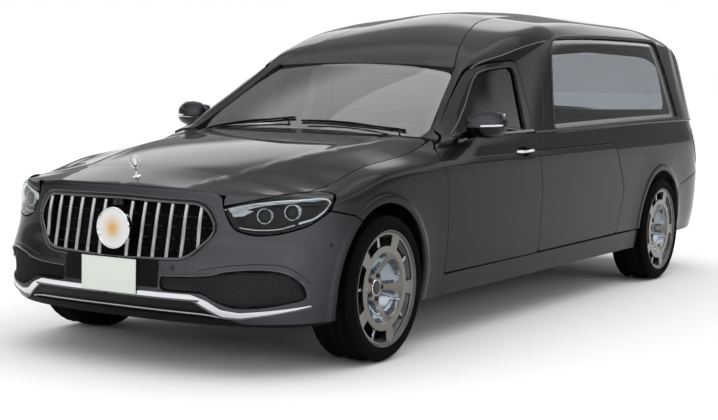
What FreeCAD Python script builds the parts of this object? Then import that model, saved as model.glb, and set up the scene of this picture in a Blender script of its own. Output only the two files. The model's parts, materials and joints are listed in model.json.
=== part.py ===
"""Hearse: a stretched two-door estate body with a raised glazed canopy over a coffin deck.

Frame: +Z up, the nose towards -Y, the car's left side towards +X. The origin lies on the
ground under the middle of the car's box. All sizes are in millimetres. Stations named
"from the front axle" are turned into the frame by along().
"""
import FreeCAD
import Part
import Sketcher
import os

V = FreeCAD.Vector
doc = FreeCAD.newDocument("Hearse")
sheet = doc.addObject("Spreadsheet::Sheet", "Sizes")

# Driving dimensions: alias, value in mm or degrees.
SIZES = (
    ("Wheelbase", 3680), ("NoseOverhang", 862), ("CarLength", 5700), ("TrackWidth", 1605),
    ("TyreRadius", 340), ("TyreWidth", 245), ("BeadRadius", 258), ("RimWidth", 232),
    ("RimLip", 270), ("HubBore", 30), ("SpindleGap", 0.05), ("DiscRadius", 172),
    ("ArchRadius", 392), ("SkinGauge", 22), ("FrameGauge", 40),
    ("WallGauge", 55), ("RoofGauge", 34), ("GlassGauge", 5), ("ShutGap", 5),
    ("DeckWidth", 1120), ("DeckLength", 2420), ("DeckHeight", 800), ("DeckGauge", 30),
    ("RollerRadius", 14), ("RollerCount", 9), ("PinHoleRadius", 8), ("FloorHeight", 235),
    ("FloorGauge", 40), ("EngineLength", 780), ("EngineWidth", 520), ("EngineHeight", 440),
    ("PlateWidth", 305), ("PlateHeight", 152), ("PlateGauge", 4), ("BadgeRadius", 93),
    ("BadgeGauge", 24), ("GrilleBars", 6), ("GrillePitch", 70), ("BarWidth", 11),
    ("SteerWheelRadius", 185), ("SteerRimRadius", 15), ("PipeRadius", 32),
)
SIZE = {}
for row, (alias, value) in enumerate(SIZES, 1):
    sheet.set(f"A{row}", alias)
    sheet.set(f"B{row}", str(value))
    sheet.setAlias(f"B{row}", alias)
doc.recompute()
for alias, value in SIZES:
    SIZE[alias] = float(getattr(sheet, alias))

FRONT_AXLE = SIZE["NoseOverhang"] - SIZE["CarLength"] / 2
REAR_AXLE = FRONT_AXLE + SIZE["Wheelbase"]
HALF_TRACK = SIZE["TrackWidth"] / 2
NODES = []
SIDES = (("left", 1), ("right", -1))


# ---------------------------------------------------------------- helpers
def along(station):
    """A station measured back from the front axle, as a frame Y."""
    return FRONT_AXLE + station


def keep(obj, node):
    """Marks a document object as the sub-part that is written as that node."""
    obj.Label = node
    NODES.append(obj)
    return obj


def bind(obj, **cells):
    """Binds an object's properties to formulas on the sheet."""
    for prop, formula in cells.items():
        obj.setExpression(prop.replace("__", "."), formula)
    return obj


def feature(node, shape):
    """A sub-part whose shape is made with Part's own functions."""
    obj = doc.addObject("Part::Feature", node)
    obj.Shape = shape
    return keep(obj, node)


def mirrored(shape):
    return shape.mirror(V(0, 0, 0), V(1, 0, 0))


def both_sides(shape):
    return Part.makeCompound([shape, mirrored(shape)])


def polygon(points):
    return Part.makePolygon(list(points) + [points[0]])


def side_prism(outline, x_low=300, x_high=1100):
    """A prism along X from an outline of (station, height)."""
    wire = polygon([V(x_low, along(s), z) for s, z in outline])
    return Part.Face(wire).extrude(V(x_high - x_low, 0, 0))


def top_prism(outline, z_low=0, z_high=2200):
    """A prism along Z from an outline of (x, station)."""
    wire = polygon([V(x, along(s), z_low) for x, s in outline])
    return Part.Face(wire).extrude(V(0, 0, z_high - z_low))


def front_prism(outline, s_low, s_high):
    """A prism along Y from an outline of (x, height)."""
    wire = polygon([V(x, along(s_low), z) for x, z in outline])
    return Part.Face(wire).extrude(V(0, s_high - s_low, 0))


def block(x, s, z):
    """A block from (low, high) pairs: x, station from the front axle, height."""
    return Part.makeBox(x[1] - x[0], s[1] - s[0], z[1] - z[0], V(x[0], along(s[0]), z[0]))


def rod(start, end, radius):
    """A round bar between two points (x, station, height)."""
    a, b = (V(p[0], along(p[1]), p[2]) for p in (start, end))
    return Part.makeCylinder(radius, (b - a).Length, a, b - a)


def symmetric(half):
    """An outline closed by its own mirror image in x = 0."""
    return list(half) + [(-x, other) for x, other in reversed(half)]


def biggest(shape):
    """The largest solid of a boolean's result."""
    return max(shape.Solids, key=lambda s: s.Volume)


# ---------------------------------------------------------------- body surfaces
# Lower body sections. Columns: station from the front axle, sill x and z, waist x and z,
# shoulder x and z, top edge x and z, crown z.
LOWER = (
    (-862, 250, 262, 330, 330, 330, 430, 300, 480, 484),
    (-815, 430, 232, 520, 400, 520, 590, 430, 690, 726),
    (-760, 545, 222, 630, 440, 622, 660, 520, 757, 804),
    (-640, 690, 215, 775, 480, 765, 705, 640, 788, 842),
    (-430, 820, 215, 890, 520, 880, 752, 745, 826, 895),
    (0, 880, 236, 918, 600, 905, 805, 790, 897, 962),
    (400, 885, 240, 923, 620, 902, 872, 800, 948, 1008),
    (700, 886, 240, 925, 620, 900, 896, 856, 988, 1036),
    (1700, 886, 240, 926, 620, 901, 926, 862, 1018, 1022),
    (2900, 886, 245, 926, 640, 905, 936, 866, 1036, 1040),
    (3680, 880, 262, 924, 650, 903, 944, 862, 1048, 1052),
    (4300, 850, 300, 894, 640, 876, 900, 826, 1056, 1060),
    (4600, 745, 335, 818, 620, 806, 860, 762, 1056, 1060),
    (4760, 610, 365, 700, 600, 690, 790, 600, 900, 910),
    (4838, 380, 420, 470, 560, 460, 660, 400, 700, 706),
)
# Canopy sections. Columns: station, base x and z, glass top x and z, shoulder x and z,
# roof edge x and z, crown z.
UPPER = (
    (640, 800, 940, 770, 975, 745, 985, 700, 992, 1034),
    (760, 858, 960, 786, 1030, 726, 1035, 700, 1040, 1112),
    (1271, 864, 960, 690, 1330, 640, 1352, 572, 1362, 1410),
    (1550, 864, 960, 712, 1432, 670, 1470, 468, 1500, 1516),
    (1830, 864, 960, 738, 1514, 660, 1565, 382, 1592, 1612),
    (2250, 866, 960, 752, 1572, 650, 1640, 330, 1682, 1702),
    (3000, 868, 960, 758, 1590, 650, 1668, 330, 1722, 1744),
    (3700, 864, 960, 752, 1600, 640, 1668, 330, 1722, 1744),
    (4200, 840, 960, 722, 1592, 612, 1636, 320, 1684, 1704),
    (4400, 812, 960, 690, 1560, 590, 1590, 300, 1640, 1656),
    (4560, 776, 960, 700, 1300, 640, 1330, 300, 1350, 1362),
    (4690, 735, 960, 700, 1030, 660, 1040, 300, 1052, 1058),
)
MIDDLE = (LOWER[0][0] + LOWER[-1][0]) / 2
HALF_LENGTH = (LOWER[-1][0] - LOWER[0][0]) / 2


def section_wire(row, inset):
    """One closed section: a floor line, three side lines a side and a crown arc."""
    station, *pairs, crown = row
    points = [(pairs[i], pairs[i + 1]) for i in range(0, len(pairs), 2)]
    low, high = points[0][1], points[-1][1]
    canopy = low >= UPPER[0][2]
    inner = []
    for x, z in points:
        rise = 1 - 2 * (z - low) / (high - low)
        drop = -inset if canopy else inset * rise
        inner.append((x - inset, z + drop))
    if canopy and inset > 0:
        inner[0] = (inner[0][0], low - 3 * inset)
    y = along(station + inset * (MIDDLE - station) / HALF_LENGTH)
    right = [V(x, y, z) for x, z in inner]
    left = [V(-p.x, p.y, p.z) for p in reversed(right)]
    edges = [Part.makeLine(a, b) for a, b in zip(right, right[1:])]
    edges.append(Part.Arc(right[-1], V(0, y, crown - inset), left[0]).toShape())
    edges += [Part.makeLine(a, b) for a, b in zip(left, left[1:])]
    edges.append(Part.makeLine(left[-1], right[0]))
    return Part.Wire(edges)


def hull(table, inset=0):
    """A closed solid through every section of a table, drawn in by inset."""
    return Part.makeLoft([section_wire(row, inset) for row in table], True, True)


def layer(table, outer, inner):
    """What lies between two insets of a hull."""
    return hull(table, outer).cut(hull(table, inner))


LOWER_HULL = hull(LOWER)
UPPER_HULL = hull(UPPER)
LOWER_SKIN = layer(LOWER, 0, SIZE["SkinGauge"])
UPPER_SKIN = layer(UPPER, 0, SIZE["FrameGauge"])


# ---------------------------------------------------------------- shut lines and openings
# Outlines of (station, height), (x, station) or (x, height), left side only.
BONNET_HALF = ((0, -785), (300, -774), (530, -718), (700, -634), (760, -520), (760, 560),
               (772, 640), (772, 672), (600, 644), (300, 630), (0, 626))
GRILLE_HALF = ((0, 748), (440, 742), (500, 630), (380, 505), (0, 490))
HEADLAMP = ((500, 730), (530, 630), (730, 620), (850, 665), (900, 777), (840, 812),
            (700, 786), (520, 740))
INTAKE = ((520, 335), (560, 430), (690, 470), (792, 400), (792, 352), (600, 318))
BLADE_HALF = ((0, 338), (430, 338), (540, 262), (900, 296), (900, 312), (548, 280), (440, 354),
              (0, 354))
BUMPER = ((-900, 150), (-289, 150), (-289, 684), (-430, 800), (-900, 800))
WING = ((-284, 236), (-284, 684), (-425, 800), (-425, 1000), (700, 1000), (700, 352), (602, 352),
        (602, 236))
DOOR_FRONT = ((612, 348), (607, 784), (572, 884), (590, 950), (640, 982), (760, 1044),
              (1262, 1346))
# The rear edge also gives x at the door's outer face, where its inward rake starts.
DOOR_REAR = ((1700, 1416, 746), (1692, 1021, 864), (1700, 925, 901), (1722, 729, 915),
             (1716, 424, 905), (1710, 354, 898))
DOOR_OUTLINE = DOOR_FRONT + tuple((station, z) for station, z, face in DOOR_REAR)
DOOR_WINDOW = ((735, 1012), (1574, 1034), (1662, 1376), (1340, 1338))
SILL = ((607, 236), (607, 342), (3262, 366), (3262, 245))
MID_PANEL = ((1717, 359), (1721, 424), (1727, 729), (1705, 925), (1697, 1021), (1697, 1100),
             (2853, 1100), (2853, 922), (2985, 636), (2893, 371))
QUARTER = ((2898, 371), (2990, 636), (2858, 922), (2858, 1100), (4850, 1100), (4850, 371))
REAR_BUMPER = ((4060, 150), (4060, 620), (4540, 700), (4640, 738), (4900, 738), (4900, 150))
TAIL_LAMP = ((4430, 992), (4400, 900), (4560, 743), (4850, 743), (4850, 992))
SIDE_WINDOW = ((1969, 1030), (4150, 1075), (4040, 1400), (3920, 1588), (3860, 1604), (2190, 1564),
               (2130, 1530))
TAILGATE_HALF = ((0, 1700), (540, 1700), (540, 1590), (592, 1530), (622, 1000), (622, 560),
                 (0, 560))
REAR_GLASS_HALF = ((0, 1570), (500, 1560), (540, 1510), (560, 1120), (0, 1110))
WINDSCREEN_HALF = ((0, 672), (400, 690), (700, 756), (560, 1262), (300, 1276), (0, 1280))
ROOF_HALF = ((0, 1290), (300, 1286), (572, 1271), (529, 1374), (468, 1550), (382, 1826),
             (318, 2107), (330, 2250), (330, 4200), (300, 4396), (0, 4396))


def grown(outline, amount):
    """A closed outline moved outwards by amount, or inwards if it is negative."""
    wire = polygon([V(a, b, 0) for a, b in outline])
    moved = wire.makeOffset2D(amount, 2)
    return [(v.X, v.Y) for v in moved.OrderedVertexes]


def arch(axle, radius, x_low=480, x_high=1100):
    """A round wheel opening on the left side."""
    centre = V(x_low, axle, SIZE["TyreRadius"])
    return Part.makeCylinder(radius, x_high - x_low, centre, V(1, 0, 0))


GAP = SIZE["ShutGap"]
FRONT_ARCH = arch(FRONT_AXLE, SIZE["ArchRadius"])
REAR_ARCH = arch(REAR_AXLE, SIZE["ArchRadius"])
BONNET_CUT = top_prism(grown(symmetric(BONNET_HALF), GAP), 640)
GRILLE_CUT = front_prism(symmetric(GRILLE_HALF), -900, -600)
HEADLAMP_CUT = front_prism(grown(HEADLAMP, 3), -900, -380)
INTAKE_CUT = front_prism(INTAKE, -900, -430)
BLADE_CUT = front_prism(symmetric(BLADE_HALF), -900, -430)
TAILGATE_CUT = front_prism(grown(symmetric(TAILGATE_HALF), GAP), 4400, 4900)
TAIL_LAMP_CUT = side_prism(grown(TAIL_LAMP, 3), 622 + GAP)
DOOR_CUT = side_prism(grown(DOOR_OUTLINE, GAP), 300)
SCREEN_CUT = top_prism(grown(symmetric(WINDSCREEN_HALF), 3), 900).common(
    block((-900, 900), (600, 1300), (900, 1500)))
PLATE_RECESS = block((-156, 156), (-900, -856), (336, 496))
REAR_PLATE_RECESS = block((-160, 160), (4800, 4900), (598, 762))
REAR_BUMPER_CUT = side_prism(grown(REAR_BUMPER, GAP), -1100)


def door_prism():
    """The door's outline, its rear edge raked forwards on the inside so that it can swing."""
    rake = 0.22
    wires = []
    for x in (1000, 560):
        rear = [(s - rake * (face - x), z) for s, z, face in DOOR_REAR]
        wires.append(polygon([V(x, along(s), z) for s, z in list(DOOR_FRONT) + rear]))
    return Part.makeLoft(wires, True, True)


def pillar_zone(clearance):
    """The room beside the windscreen that its pillars take up."""
    zone = top_prism(grown(symmetric(WINDSCREEN_HALF), 31 + clearance), 900)
    half = 795 + clearance
    foot = block((-half, half), (600, 764 + clearance), (900, 1100))
    return zone.fuse(foot).common(block((-900, 900), (600, 1300 + clearance), (900, 1500)))


# ---------------------------------------------------------------- outer panels
def make_front_end():
    """Bumper, grille, intakes, blade and lamps."""
    cutters = [BONNET_CUT, GRILLE_CUT, BLADE_CUT, PLATE_RECESS]
    for tool in (HEADLAMP_CUT, INTAKE_CUT, FRONT_ARCH):
        cutters += [tool, mirrored(tool)]
    bumper = LOWER_SKIN.common(side_prism(BUMPER, -1100))
    feature("front_bumper", biggest(bumper.cut(Part.makeCompound(cutters))))
    blade = LOWER_SKIN.common(front_prism(grown(symmetric(BLADE_HALF), -1), -900, -430))
    feature("bumper_blade", biggest(blade.cut(PLATE_RECESS)))

    depth = layer(LOWER, 0, 26)
    frame = front_prism(grown(symmetric(GRILLE_HALF), -2), -900, -600)
    hole = front_prism(grown(symmetric(GRILLE_HALF), -22), -900, -600)
    bars = [frame.cut(hole)]
    half = SIZE["BarWidth"] / 2
    for index in range(int(SIZE["GrilleBars"])):
        x = SIZE["GrillePitch"] * (index + 1)
        bars.append(block((x - half, x + half), (-900, -600), (490, 760)).common(frame))
    bars += [mirrored(bar) for bar in bars[1:]]
    ring = depth.common(bars[0].multiFuse(bars[1:]))
    slats = [block((-520, 520), (-900, -600), (z, z + 8)) for z in (545, 592, 639, 686)]
    behind = layer(LOWER, 20, 38)
    back = behind.common(Part.makeCompound(slats).common(hole))
    centre = V(0, along(-836), 617)
    badge_space = Part.makeCylinder(SIZE["BadgeRadius"] + 1, 60, centre + V(0, -30, 0), V(0, 1, 0))
    grille = ring.multiFuse(back.Solids).cut(badge_space)
    feature("grille", grille)

    mesh = layer(LOWER, 8, 20).common(front_prism(grown(INTAKE, -2), -900, -430))
    feature("intake_grilles", both_sides(biggest(mesh)))
    lamp = layer(LOWER, 0, 70).common(front_prism(HEADLAMP, -900, -380))
    lamp = biggest(lamp.cut(BONNET_CUT).cut(FRONT_ARCH))
    feature("headlamps", both_sides(lamp))


def make_wings():
    """Front wings."""
    wing = LOWER_SKIN.common(side_prism(WING, 560))
    tools = [BONNET_CUT, HEADLAMP_CUT, FRONT_ARCH, DOOR_CUT,
             side_prism(grown(BUMPER, GAP), 300),
             block((0, 850), (-900, 900), (150, 700)),
             block((0, 780), (600, 900), (700, 1100))]
    wing = biggest(wing.cut(Part.makeCompound(tools)))
    feature("wings", both_sides(wing))


def make_bonnet():
    """The bonnet skin."""
    bonnet = LOWER_SKIN.common(top_prism(symmetric(BONNET_HALF), 640))
    lamps = Part.makeCompound([HEADLAMP_CUT, mirrored(HEADLAMP_CUT), GRILLE_CUT])
    feature("bonnet", biggest(bonnet.cut(lamps)))


def make_doors():
    """Doors with their window frames, glass and mirrors."""
    outline = door_prism()
    lower = LOWER_HULL.common(side_prism(((500, 300), (500, 1060), (1800, 1060), (1800, 300)), 800))
    pillar = pillar_zone(GAP)
    frame = UPPER_SKIN.cut(LOWER_HULL).common(block((600, 1000), (500, 1800), (900, 1500)))
    frame = frame.cut(pillar)
    shell = lower.common(outline).fuse(frame.common(outline))
    door = biggest(shell.cut(side_prism(DOOR_WINDOW, 300)))
    handle = rod((900, 1440, 924), (900, 1590, 928), 11)
    door = door.fuse(handle)
    glass = layer(UPPER, 14, 14 + SIZE["GlassGauge"]).common(side_prism(DOOR_WINDOW, 300))
    glass = biggest(glass.cut(pillar))
    mirror = make_mirror().cut(door)
    for node, shape in (("door", door), ("door_glass", glass), ("mirror", biggest(mirror))):
        for side, sign in SIDES:
            feature(f"{node}_{side}", shape if sign > 0 else mirrored(shape))


def make_mirror():
    """A wing mirror's head on its arm."""
    head = block((870, 1028), (930, 1070), (1010, 1150))
    head = head.makeFillet(28, head.Edges)
    arm = rod((840, 850, 985), (900, 960, 1040), 18)
    return head.fuse(arm)


def make_sides():
    """Sills, fixed side panels and quarters."""
    sill = LOWER_HULL.common(side_prism(SILL, 790)).cut(Part.makeCompound([FRONT_ARCH, REAR_ARCH]))
    mid = LOWER_HULL.common(side_prism(MID_PANEL, 800)).cut(REAR_ARCH)
    quarter = LOWER_SKIN.common(side_prism(QUARTER, 560))
    quarter = quarter.cut(block((0, 780), (2800, 4600), (1000, 1100)))
    tools = [REAR_ARCH, REAR_BUMPER_CUT, TAIL_LAMP_CUT, TAILGATE_CUT]
    quarter = quarter.cut(Part.makeCompound(tools))
    for node, shape in (("sills", sill), ("side_panels", mid), ("quarters", quarter)):
        feature(node, both_sides(biggest(shape)))


def make_canopy():
    """Roof, side frames and fixed glass."""
    roof = layer(UPPER, 0, SIZE["RoofGauge"]).common(top_prism(symmetric(ROOF_HALF), 1300))
    feature("roof", biggest(roof))
    screen_outline = front_prism(((-800, 1026), (800, 1026), (800, 1500), (-800, 1500)), 600, 1300)
    screen = layer(UPPER, 4, 4 + SIZE["GlassGauge"]).common(top_prism(symmetric(WINDSCREEN_HALF), 960))
    feature("windscreen", biggest(screen.common(screen_outline)))

    frame = UPPER_SKIN.cut(LOWER_HULL).common(block((0, 1000), (600, 4800), (900, 1800)))
    tools = [
        top_prism(grown(symmetric(ROOF_HALF), 3), 1300),
        SCREEN_CUT,
        DOOR_CUT.cut(pillar_zone(0)),
        side_prism(SIDE_WINDOW, 500),
        TAILGATE_CUT,
        block((0, 900), (600, 700), (900, 1100)),
    ]
    frame = biggest(frame.cut(Part.makeCompound(tools)))
    glass = layer(UPPER, 10, 10 + SIZE["GlassGauge"]).common(side_prism(SIDE_WINDOW, 500))
    feature("side_frames", both_sides(frame))
    feature("side_windows", both_sides(biggest(glass)))


def make_tail():
    """Tailgate, its glass, lamps and rear bumper."""
    skin = layer(LOWER, 0, SIZE["WallGauge"]).cut(UPPER_HULL)
    upper = layer(UPPER, 0, SIZE["WallGauge"]).cut(hull(LOWER, SIZE["WallGauge"]))
    outline = front_prism(symmetric(TAILGATE_HALF), 4405, 4900)
    gate = upper.common(outline).fuse(skin.common(outline))
    window = front_prism(symmetric(REAR_GLASS_HALF), 4405, 4900)
    feature("tailgate", biggest(gate.cut(window).cut(REAR_PLATE_RECESS)))
    pane = layer(UPPER, 14, 14 + SIZE["GlassGauge"]).common(window)
    feature("tailgate_glass", biggest(pane))
    lamp = layer(LOWER, 0, 50).common(side_prism(TAIL_LAMP, 622 + 2 * GAP)).cut(UPPER_HULL)
    feature("tail_lamps", both_sides(biggest(lamp)))
    bumper = LOWER_SKIN.common(side_prism(REAR_BUMPER, -1100))
    tools = [REAR_ARCH, mirrored(REAR_ARCH), TAILGATE_CUT,
             block((-640, 640), (4000, 4690), (200, 460))]
    feature("rear_bumper", biggest(bumper.cut(Part.makeCompound(tools))))


# ---------------------------------------------------------------- sketched parts
def new_body(node):
    return keep(doc.addObject("PartDesign::Body", node), node)


def origin_feature(body, role):
    """One of a body's own origin planes or axes."""
    return next(item for item in body.Origin.OriginFeatures if item.Role == role)


def sketch_on(body, role, name):
    sketch = body.newObject("Sketcher::SketchObject", name)
    sketch.AttachmentSupport = [(origin_feature(body, role), "")]
    sketch.MapMode = "FlatFace"
    return sketch


def add_profile(sketch, points, bound=()):
    """A closed polygon with every corner placed; bound gives (corner, axis, formula)."""
    count = len(points)
    corners = [V(a, b, 0) for a, b in points]
    for index, corner in enumerate(corners):
        sketch.addGeometry(Part.LineSegment(corner, corners[(index + 1) % count]), False)
    for index in range(count):
        sketch.addConstraint(Sketcher.Constraint("Coincident", index, 2, (index + 1) % count, 1))
    formulas = {(corner, axis): formula for corner, axis, formula in bound}
    for index, point in enumerate(points):
        for axis, kind, line in ((0, "DistanceX", -2), (1, "DistanceY", -1)):
            if abs(point[axis]) < 1e-9:
                sketch.addConstraint(Sketcher.Constraint("PointOnObject", index, 1, line))
                continue
            place = sketch.addConstraint(
                Sketcher.Constraint(kind, -1, 1, index, 1, point[axis]))
            if (index, axis) in formulas:
                sketch.setExpression(f"Constraints[{place}]", formulas[(index, axis)])


def add_circle(sketch, centre, radius, formula=None):
    """A circle with its radius bound to a formula."""
    place = sketch.addGeometry(Part.Circle(V(*centre, 0), V(0, 0, 1), radius), False)
    if centre == (0, 0):
        sketch.addConstraint(Sketcher.Constraint("Coincident", place, 3, -1, 1))
    else:
        sketch.addConstraint(Sketcher.Constraint("DistanceX", -1, 1, place, 3, centre[0]))
        sketch.addConstraint(Sketcher.Constraint("DistanceY", -1, 1, place, 3, centre[1]))
    name = sketch.addConstraint(Sketcher.Constraint("Radius", place, radius))
    if formula:
        sketch.setExpression(f"Constraints[{name}]", formula)


def revolved(body, sketch, axis="H_Axis"):
    turn = body.newObject("PartDesign::Revolution", f"{body.Label}_turn")
    turn.Profile = sketch
    turn.ReferenceAxis = (sketch, [axis])
    turn.Angle = 360
    return turn


def padded(body, sketch, length, symmetric_about=True):
    pad = body.newObject("PartDesign::Pad", f"{body.Label}_pad{len(body.Group)}")
    pad.Profile = sketch
    pad.Midplane = symmetric_about
    pad.setExpression("Length", length)
    return pad


def place(obj, x, station, z, turn=0):
    """Sets a sub-part down at x, a station from the front axle and a height."""
    obj.Placement = FreeCAD.Placement(V(x, along(station), z), FreeCAD.Rotation(V(0, 0, 1), turn))
    return obj


# ---------------------------------------------------------------- wheels
def make_tyre(node, x, station, turn):
    """A hollow tyre, its tread band and sidewalls in a few flat runs."""
    body = new_body(node)
    sketch = sketch_on(body, "XY_Plane", f"{node}_profile")
    half, tread, bead = SIZE["TyreWidth"] / 2, SIZE["TyreRadius"], SIZE["BeadRadius"] + 0.3
    outside = [(-103.5, bead), (-107.4, 271), (-half, 300), (3 - half, 324), (17 - half, tread),
               (half - 17, tread), (half - 3, 324), (half, 300), (107.4, 271), (103.5, bead)]
    inside = [(96, bead + 8), (half - 15, 300), (half - 26, tread - 16), (26 - half, tread - 16),
              (15 - half, 300), (-96, bead + 8)]
    bound = [(corner, 1, "Sizes.TyreRadius") for corner in (4, 5)]
    bound += [(7, 0, "Sizes.TyreWidth / 2"), (2, 0, "-Sizes.TyreWidth / 2")]
    add_profile(sketch, outside + inside, bound)
    revolved(body, sketch)
    return place(body, x, station, SIZE["TyreRadius"], turn)


def make_rim(node, x, station, turn):
    """A dished rim with ten slots, its hub and its brake disc."""
    body = new_body(node)
    sketch = sketch_on(body, "XY_Plane", f"{node}_profile")
    half, lip, bead = SIZE["RimWidth"] / 2, SIZE["RimLip"], SIZE["BeadRadius"]
    bore, disc = SIZE["HubBore"], SIZE["DiscRadius"]
    points = [(-half, lip - 8), (-half, lip), (-108, lip), (-104, bead), (-60, 240), (80, 240),
              (104, bead), (108, lip), (half, lip), (half, lip - 8), (100, 246), (97, 200),
              (95, 165), (20, 150), (5, 70), (8, 28), (8, 0), (-2, 0), (-2, bore), (-62, bore),
              (-62, disc), (-38, disc), (-38, 75), (-20, 80), (-5, 150), (70, 172), (78, 225),
              (70, 232), (-60, 230), (-100, 246)]
    bound = [(1, 1, "Sizes.RimLip"), (8, 1, "Sizes.RimLip"), (3, 1, "Sizes.BeadRadius"),
             (6, 1, "Sizes.BeadRadius"), (18, 1, "Sizes.HubBore"), (19, 1, "Sizes.HubBore"),
             (20, 1, "Sizes.DiscRadius"), (21, 1, "Sizes.DiscRadius")]
    add_profile(sketch, points, bound)
    revolved(body, sketch)
    doc.recompute()
    slot = sketch_on(body, "YZ_Plane", f"{node}_slot")
    add_profile(slot, [(-25, 196), (25, 196), (34, 240), (-34, 240)])
    pocket = body.newObject("PartDesign::Pocket", f"{node}_window")
    pocket.Profile = slot
    pocket.Length = 130
    pocket.Reversed = True
    pattern = body.newObject("PartDesign::PolarPattern", f"{node}_windows")
    pattern.Originals = [pocket]
    pattern.Axis = (origin_feature(body, "X_Axis"), [""])
    pattern.Angle = 360
    pattern.Occurrences = 10
    body.Tip = pattern
    return place(body, x, station, SIZE["TyreRadius"], turn)


def make_wheels():
    """Four rims and tyres."""
    for corner, sign, station in WHEELS:
        turn = 0 if sign > 0 else 180
        make_rim(f"rim_{corner}", sign * HALF_TRACK, station, turn)
        make_tyre(f"tyre_{corner}", sign * HALF_TRACK, station, turn)


WHEELS = (("front_left", 1, 0), ("front_right", -1, 0),
          ("rear_left", 1, SIZE["Wheelbase"]), ("rear_right", -1, SIZE["Wheelbase"]))


# ---------------------------------------------------------------- running gear
def spindle(station):
    """A left-hand spindle that runs in the hub's blind bore."""
    radius = SIZE["HubBore"] - SIZE["SpindleGap"]
    centre = SIZE["TyreRadius"]
    return rod((HALF_TRACK - 76, station, centre), (HALF_TRACK - 8, station, centre), radius)


def caliper(station):
    """A brake caliper that straddles the rear of the left-hand disc."""
    disc = SIZE["DiscRadius"]
    centre = V(HALF_TRACK - 88, along(station), SIZE["TyreRadius"])
    ring = Part.makeCylinder(disc + 28, 74, centre, V(1, 0, 0))
    ring = ring.cut(Part.makeCylinder(disc - 60, 74, centre, V(1, 0, 0)))
    throat = Part.makeCylinder(disc + 8, 36, centre + V(20, 0, 0), V(1, 0, 0))
    wedge = block((600, 820), (station + 60, station + 230), (250, 430))
    return ring.cut(throat).common(wedge)


def make_running_gear():
    """Knuckles, subframes, axle, propeller shaft, exhaust and tank."""
    hub = SIZE["TyreRadius"]
    upright = block((HALF_TRACK - 116, HALF_TRACK - 76), (-45, 45), (252, 470))
    web = block((HALF_TRACK - 116, HALF_TRACK - 76), (30, 130), (300, 380))
    knuckle = upright.multiFuse([web, spindle(0), caliper(0)])
    for side, sign in SIDES:
        feature(f"knuckle_{side}", knuckle if sign > 0 else mirrored(knuckle))

    rail = block((400, 480), (-660, 540), (380, 460))
    lower_arm = block((330, 700), (-28, 28), (214, 246))
    upper_arm = block((400, 690), (-28, 28), (478, 502))
    tower = block((400, 480), (-60, 60), (214, 830))
    strut = rod((545, 0, 502), (545, 0, 800), 42)
    tower_cap = block((400, 600), (-60, 60), (800, 822))
    left = [rail, lower_arm, upper_arm, tower, strut, tower_cap]
    cross = block((-400, 400), (-90, 90), (214, 270))
    beam = block((-560, 560), (-700, -660), (380, 470))
    right = [mirrored(shape) for shape in left]
    feature("front_subframe", cross.multiFuse(left + right + [beam]))

    rear = SIZE["Wheelbase"]
    tube = rod((-HALF_TRACK + 100, rear, hub), (HALF_TRACK - 100, rear, hub), 46)
    carrier = block((HALF_TRACK - 116, HALF_TRACK - 76), (rear - 60, rear + 60), (hub - 70, hub + 70))
    arm = block((520, 600), (rear - 560, rear + 120), (hub - 52, hub + 12))
    damper = rod((560, rear + 70, hub), (560, rear + 70, 468), 30)
    web = block((HALF_TRACK - 116, HALF_TRACK - 76), (rear + 50, rear + 130), (hub - 40, hub + 40))
    left = [carrier, spindle(rear), caliper(rear), arm, damper, web]
    case = block((-130, 130), (rear - 130, rear + 120), (hub - 105, hub + 115))
    shaft = rod((0, 480, hub), (0, rear - 120, hub), 34)
    axle = tube.multiFuse([case, shaft] + left + [mirrored(shape) for shape in left])
    feature("rear_axle", axle)

    radius = SIZE["PipeRadius"]
    run = (((-250, 470, 200), (-250, 3200, 200)), ((-250, 3200, 200), (-420, 3300, 200)),
           ((-420, 3300, 200), (-420, 4000, 200)), ((-420, 4000, 200), (-420, 4220, 300)),
           ((-420, 4640, 298), (-420, 4790, 298)))
    pipes = [rod(start, end, radius) for start, end in run]
    bends = [Part.makeSphere(radius, V(p[0], along(p[1]), p[2])) for _, p in run[:3]]
    muffler = block((-620, -200), (4200, 4660), (250, 380))
    muffler = muffler.makeFillet(40, muffler.Edges)
    feature("exhaust", muffler.multiFuse(pipes + bends))
    tank = doc.addObject("Part::Box", "fuel_tank")
    tank.Length, tank.Width, tank.Height = 420, 900, 200
    keep(place(tank, 90, 2250, 262), "fuel_tank")

    engine = doc.addObject("Part::Box", "engine")
    bind(engine, Length="Sizes.EngineWidth", Width="Sizes.EngineLength",
         Height="Sizes.EngineHeight")
    keep(place(engine, -SIZE["EngineWidth"] / 2, -330, 272), "engine")
    radiator = doc.addObject("Part::Box", "radiator")
    radiator.Length, radiator.Width, radiator.Height = 760, 46, 270
    keep(place(radiator, -380, -655, 474), "radiator")


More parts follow.
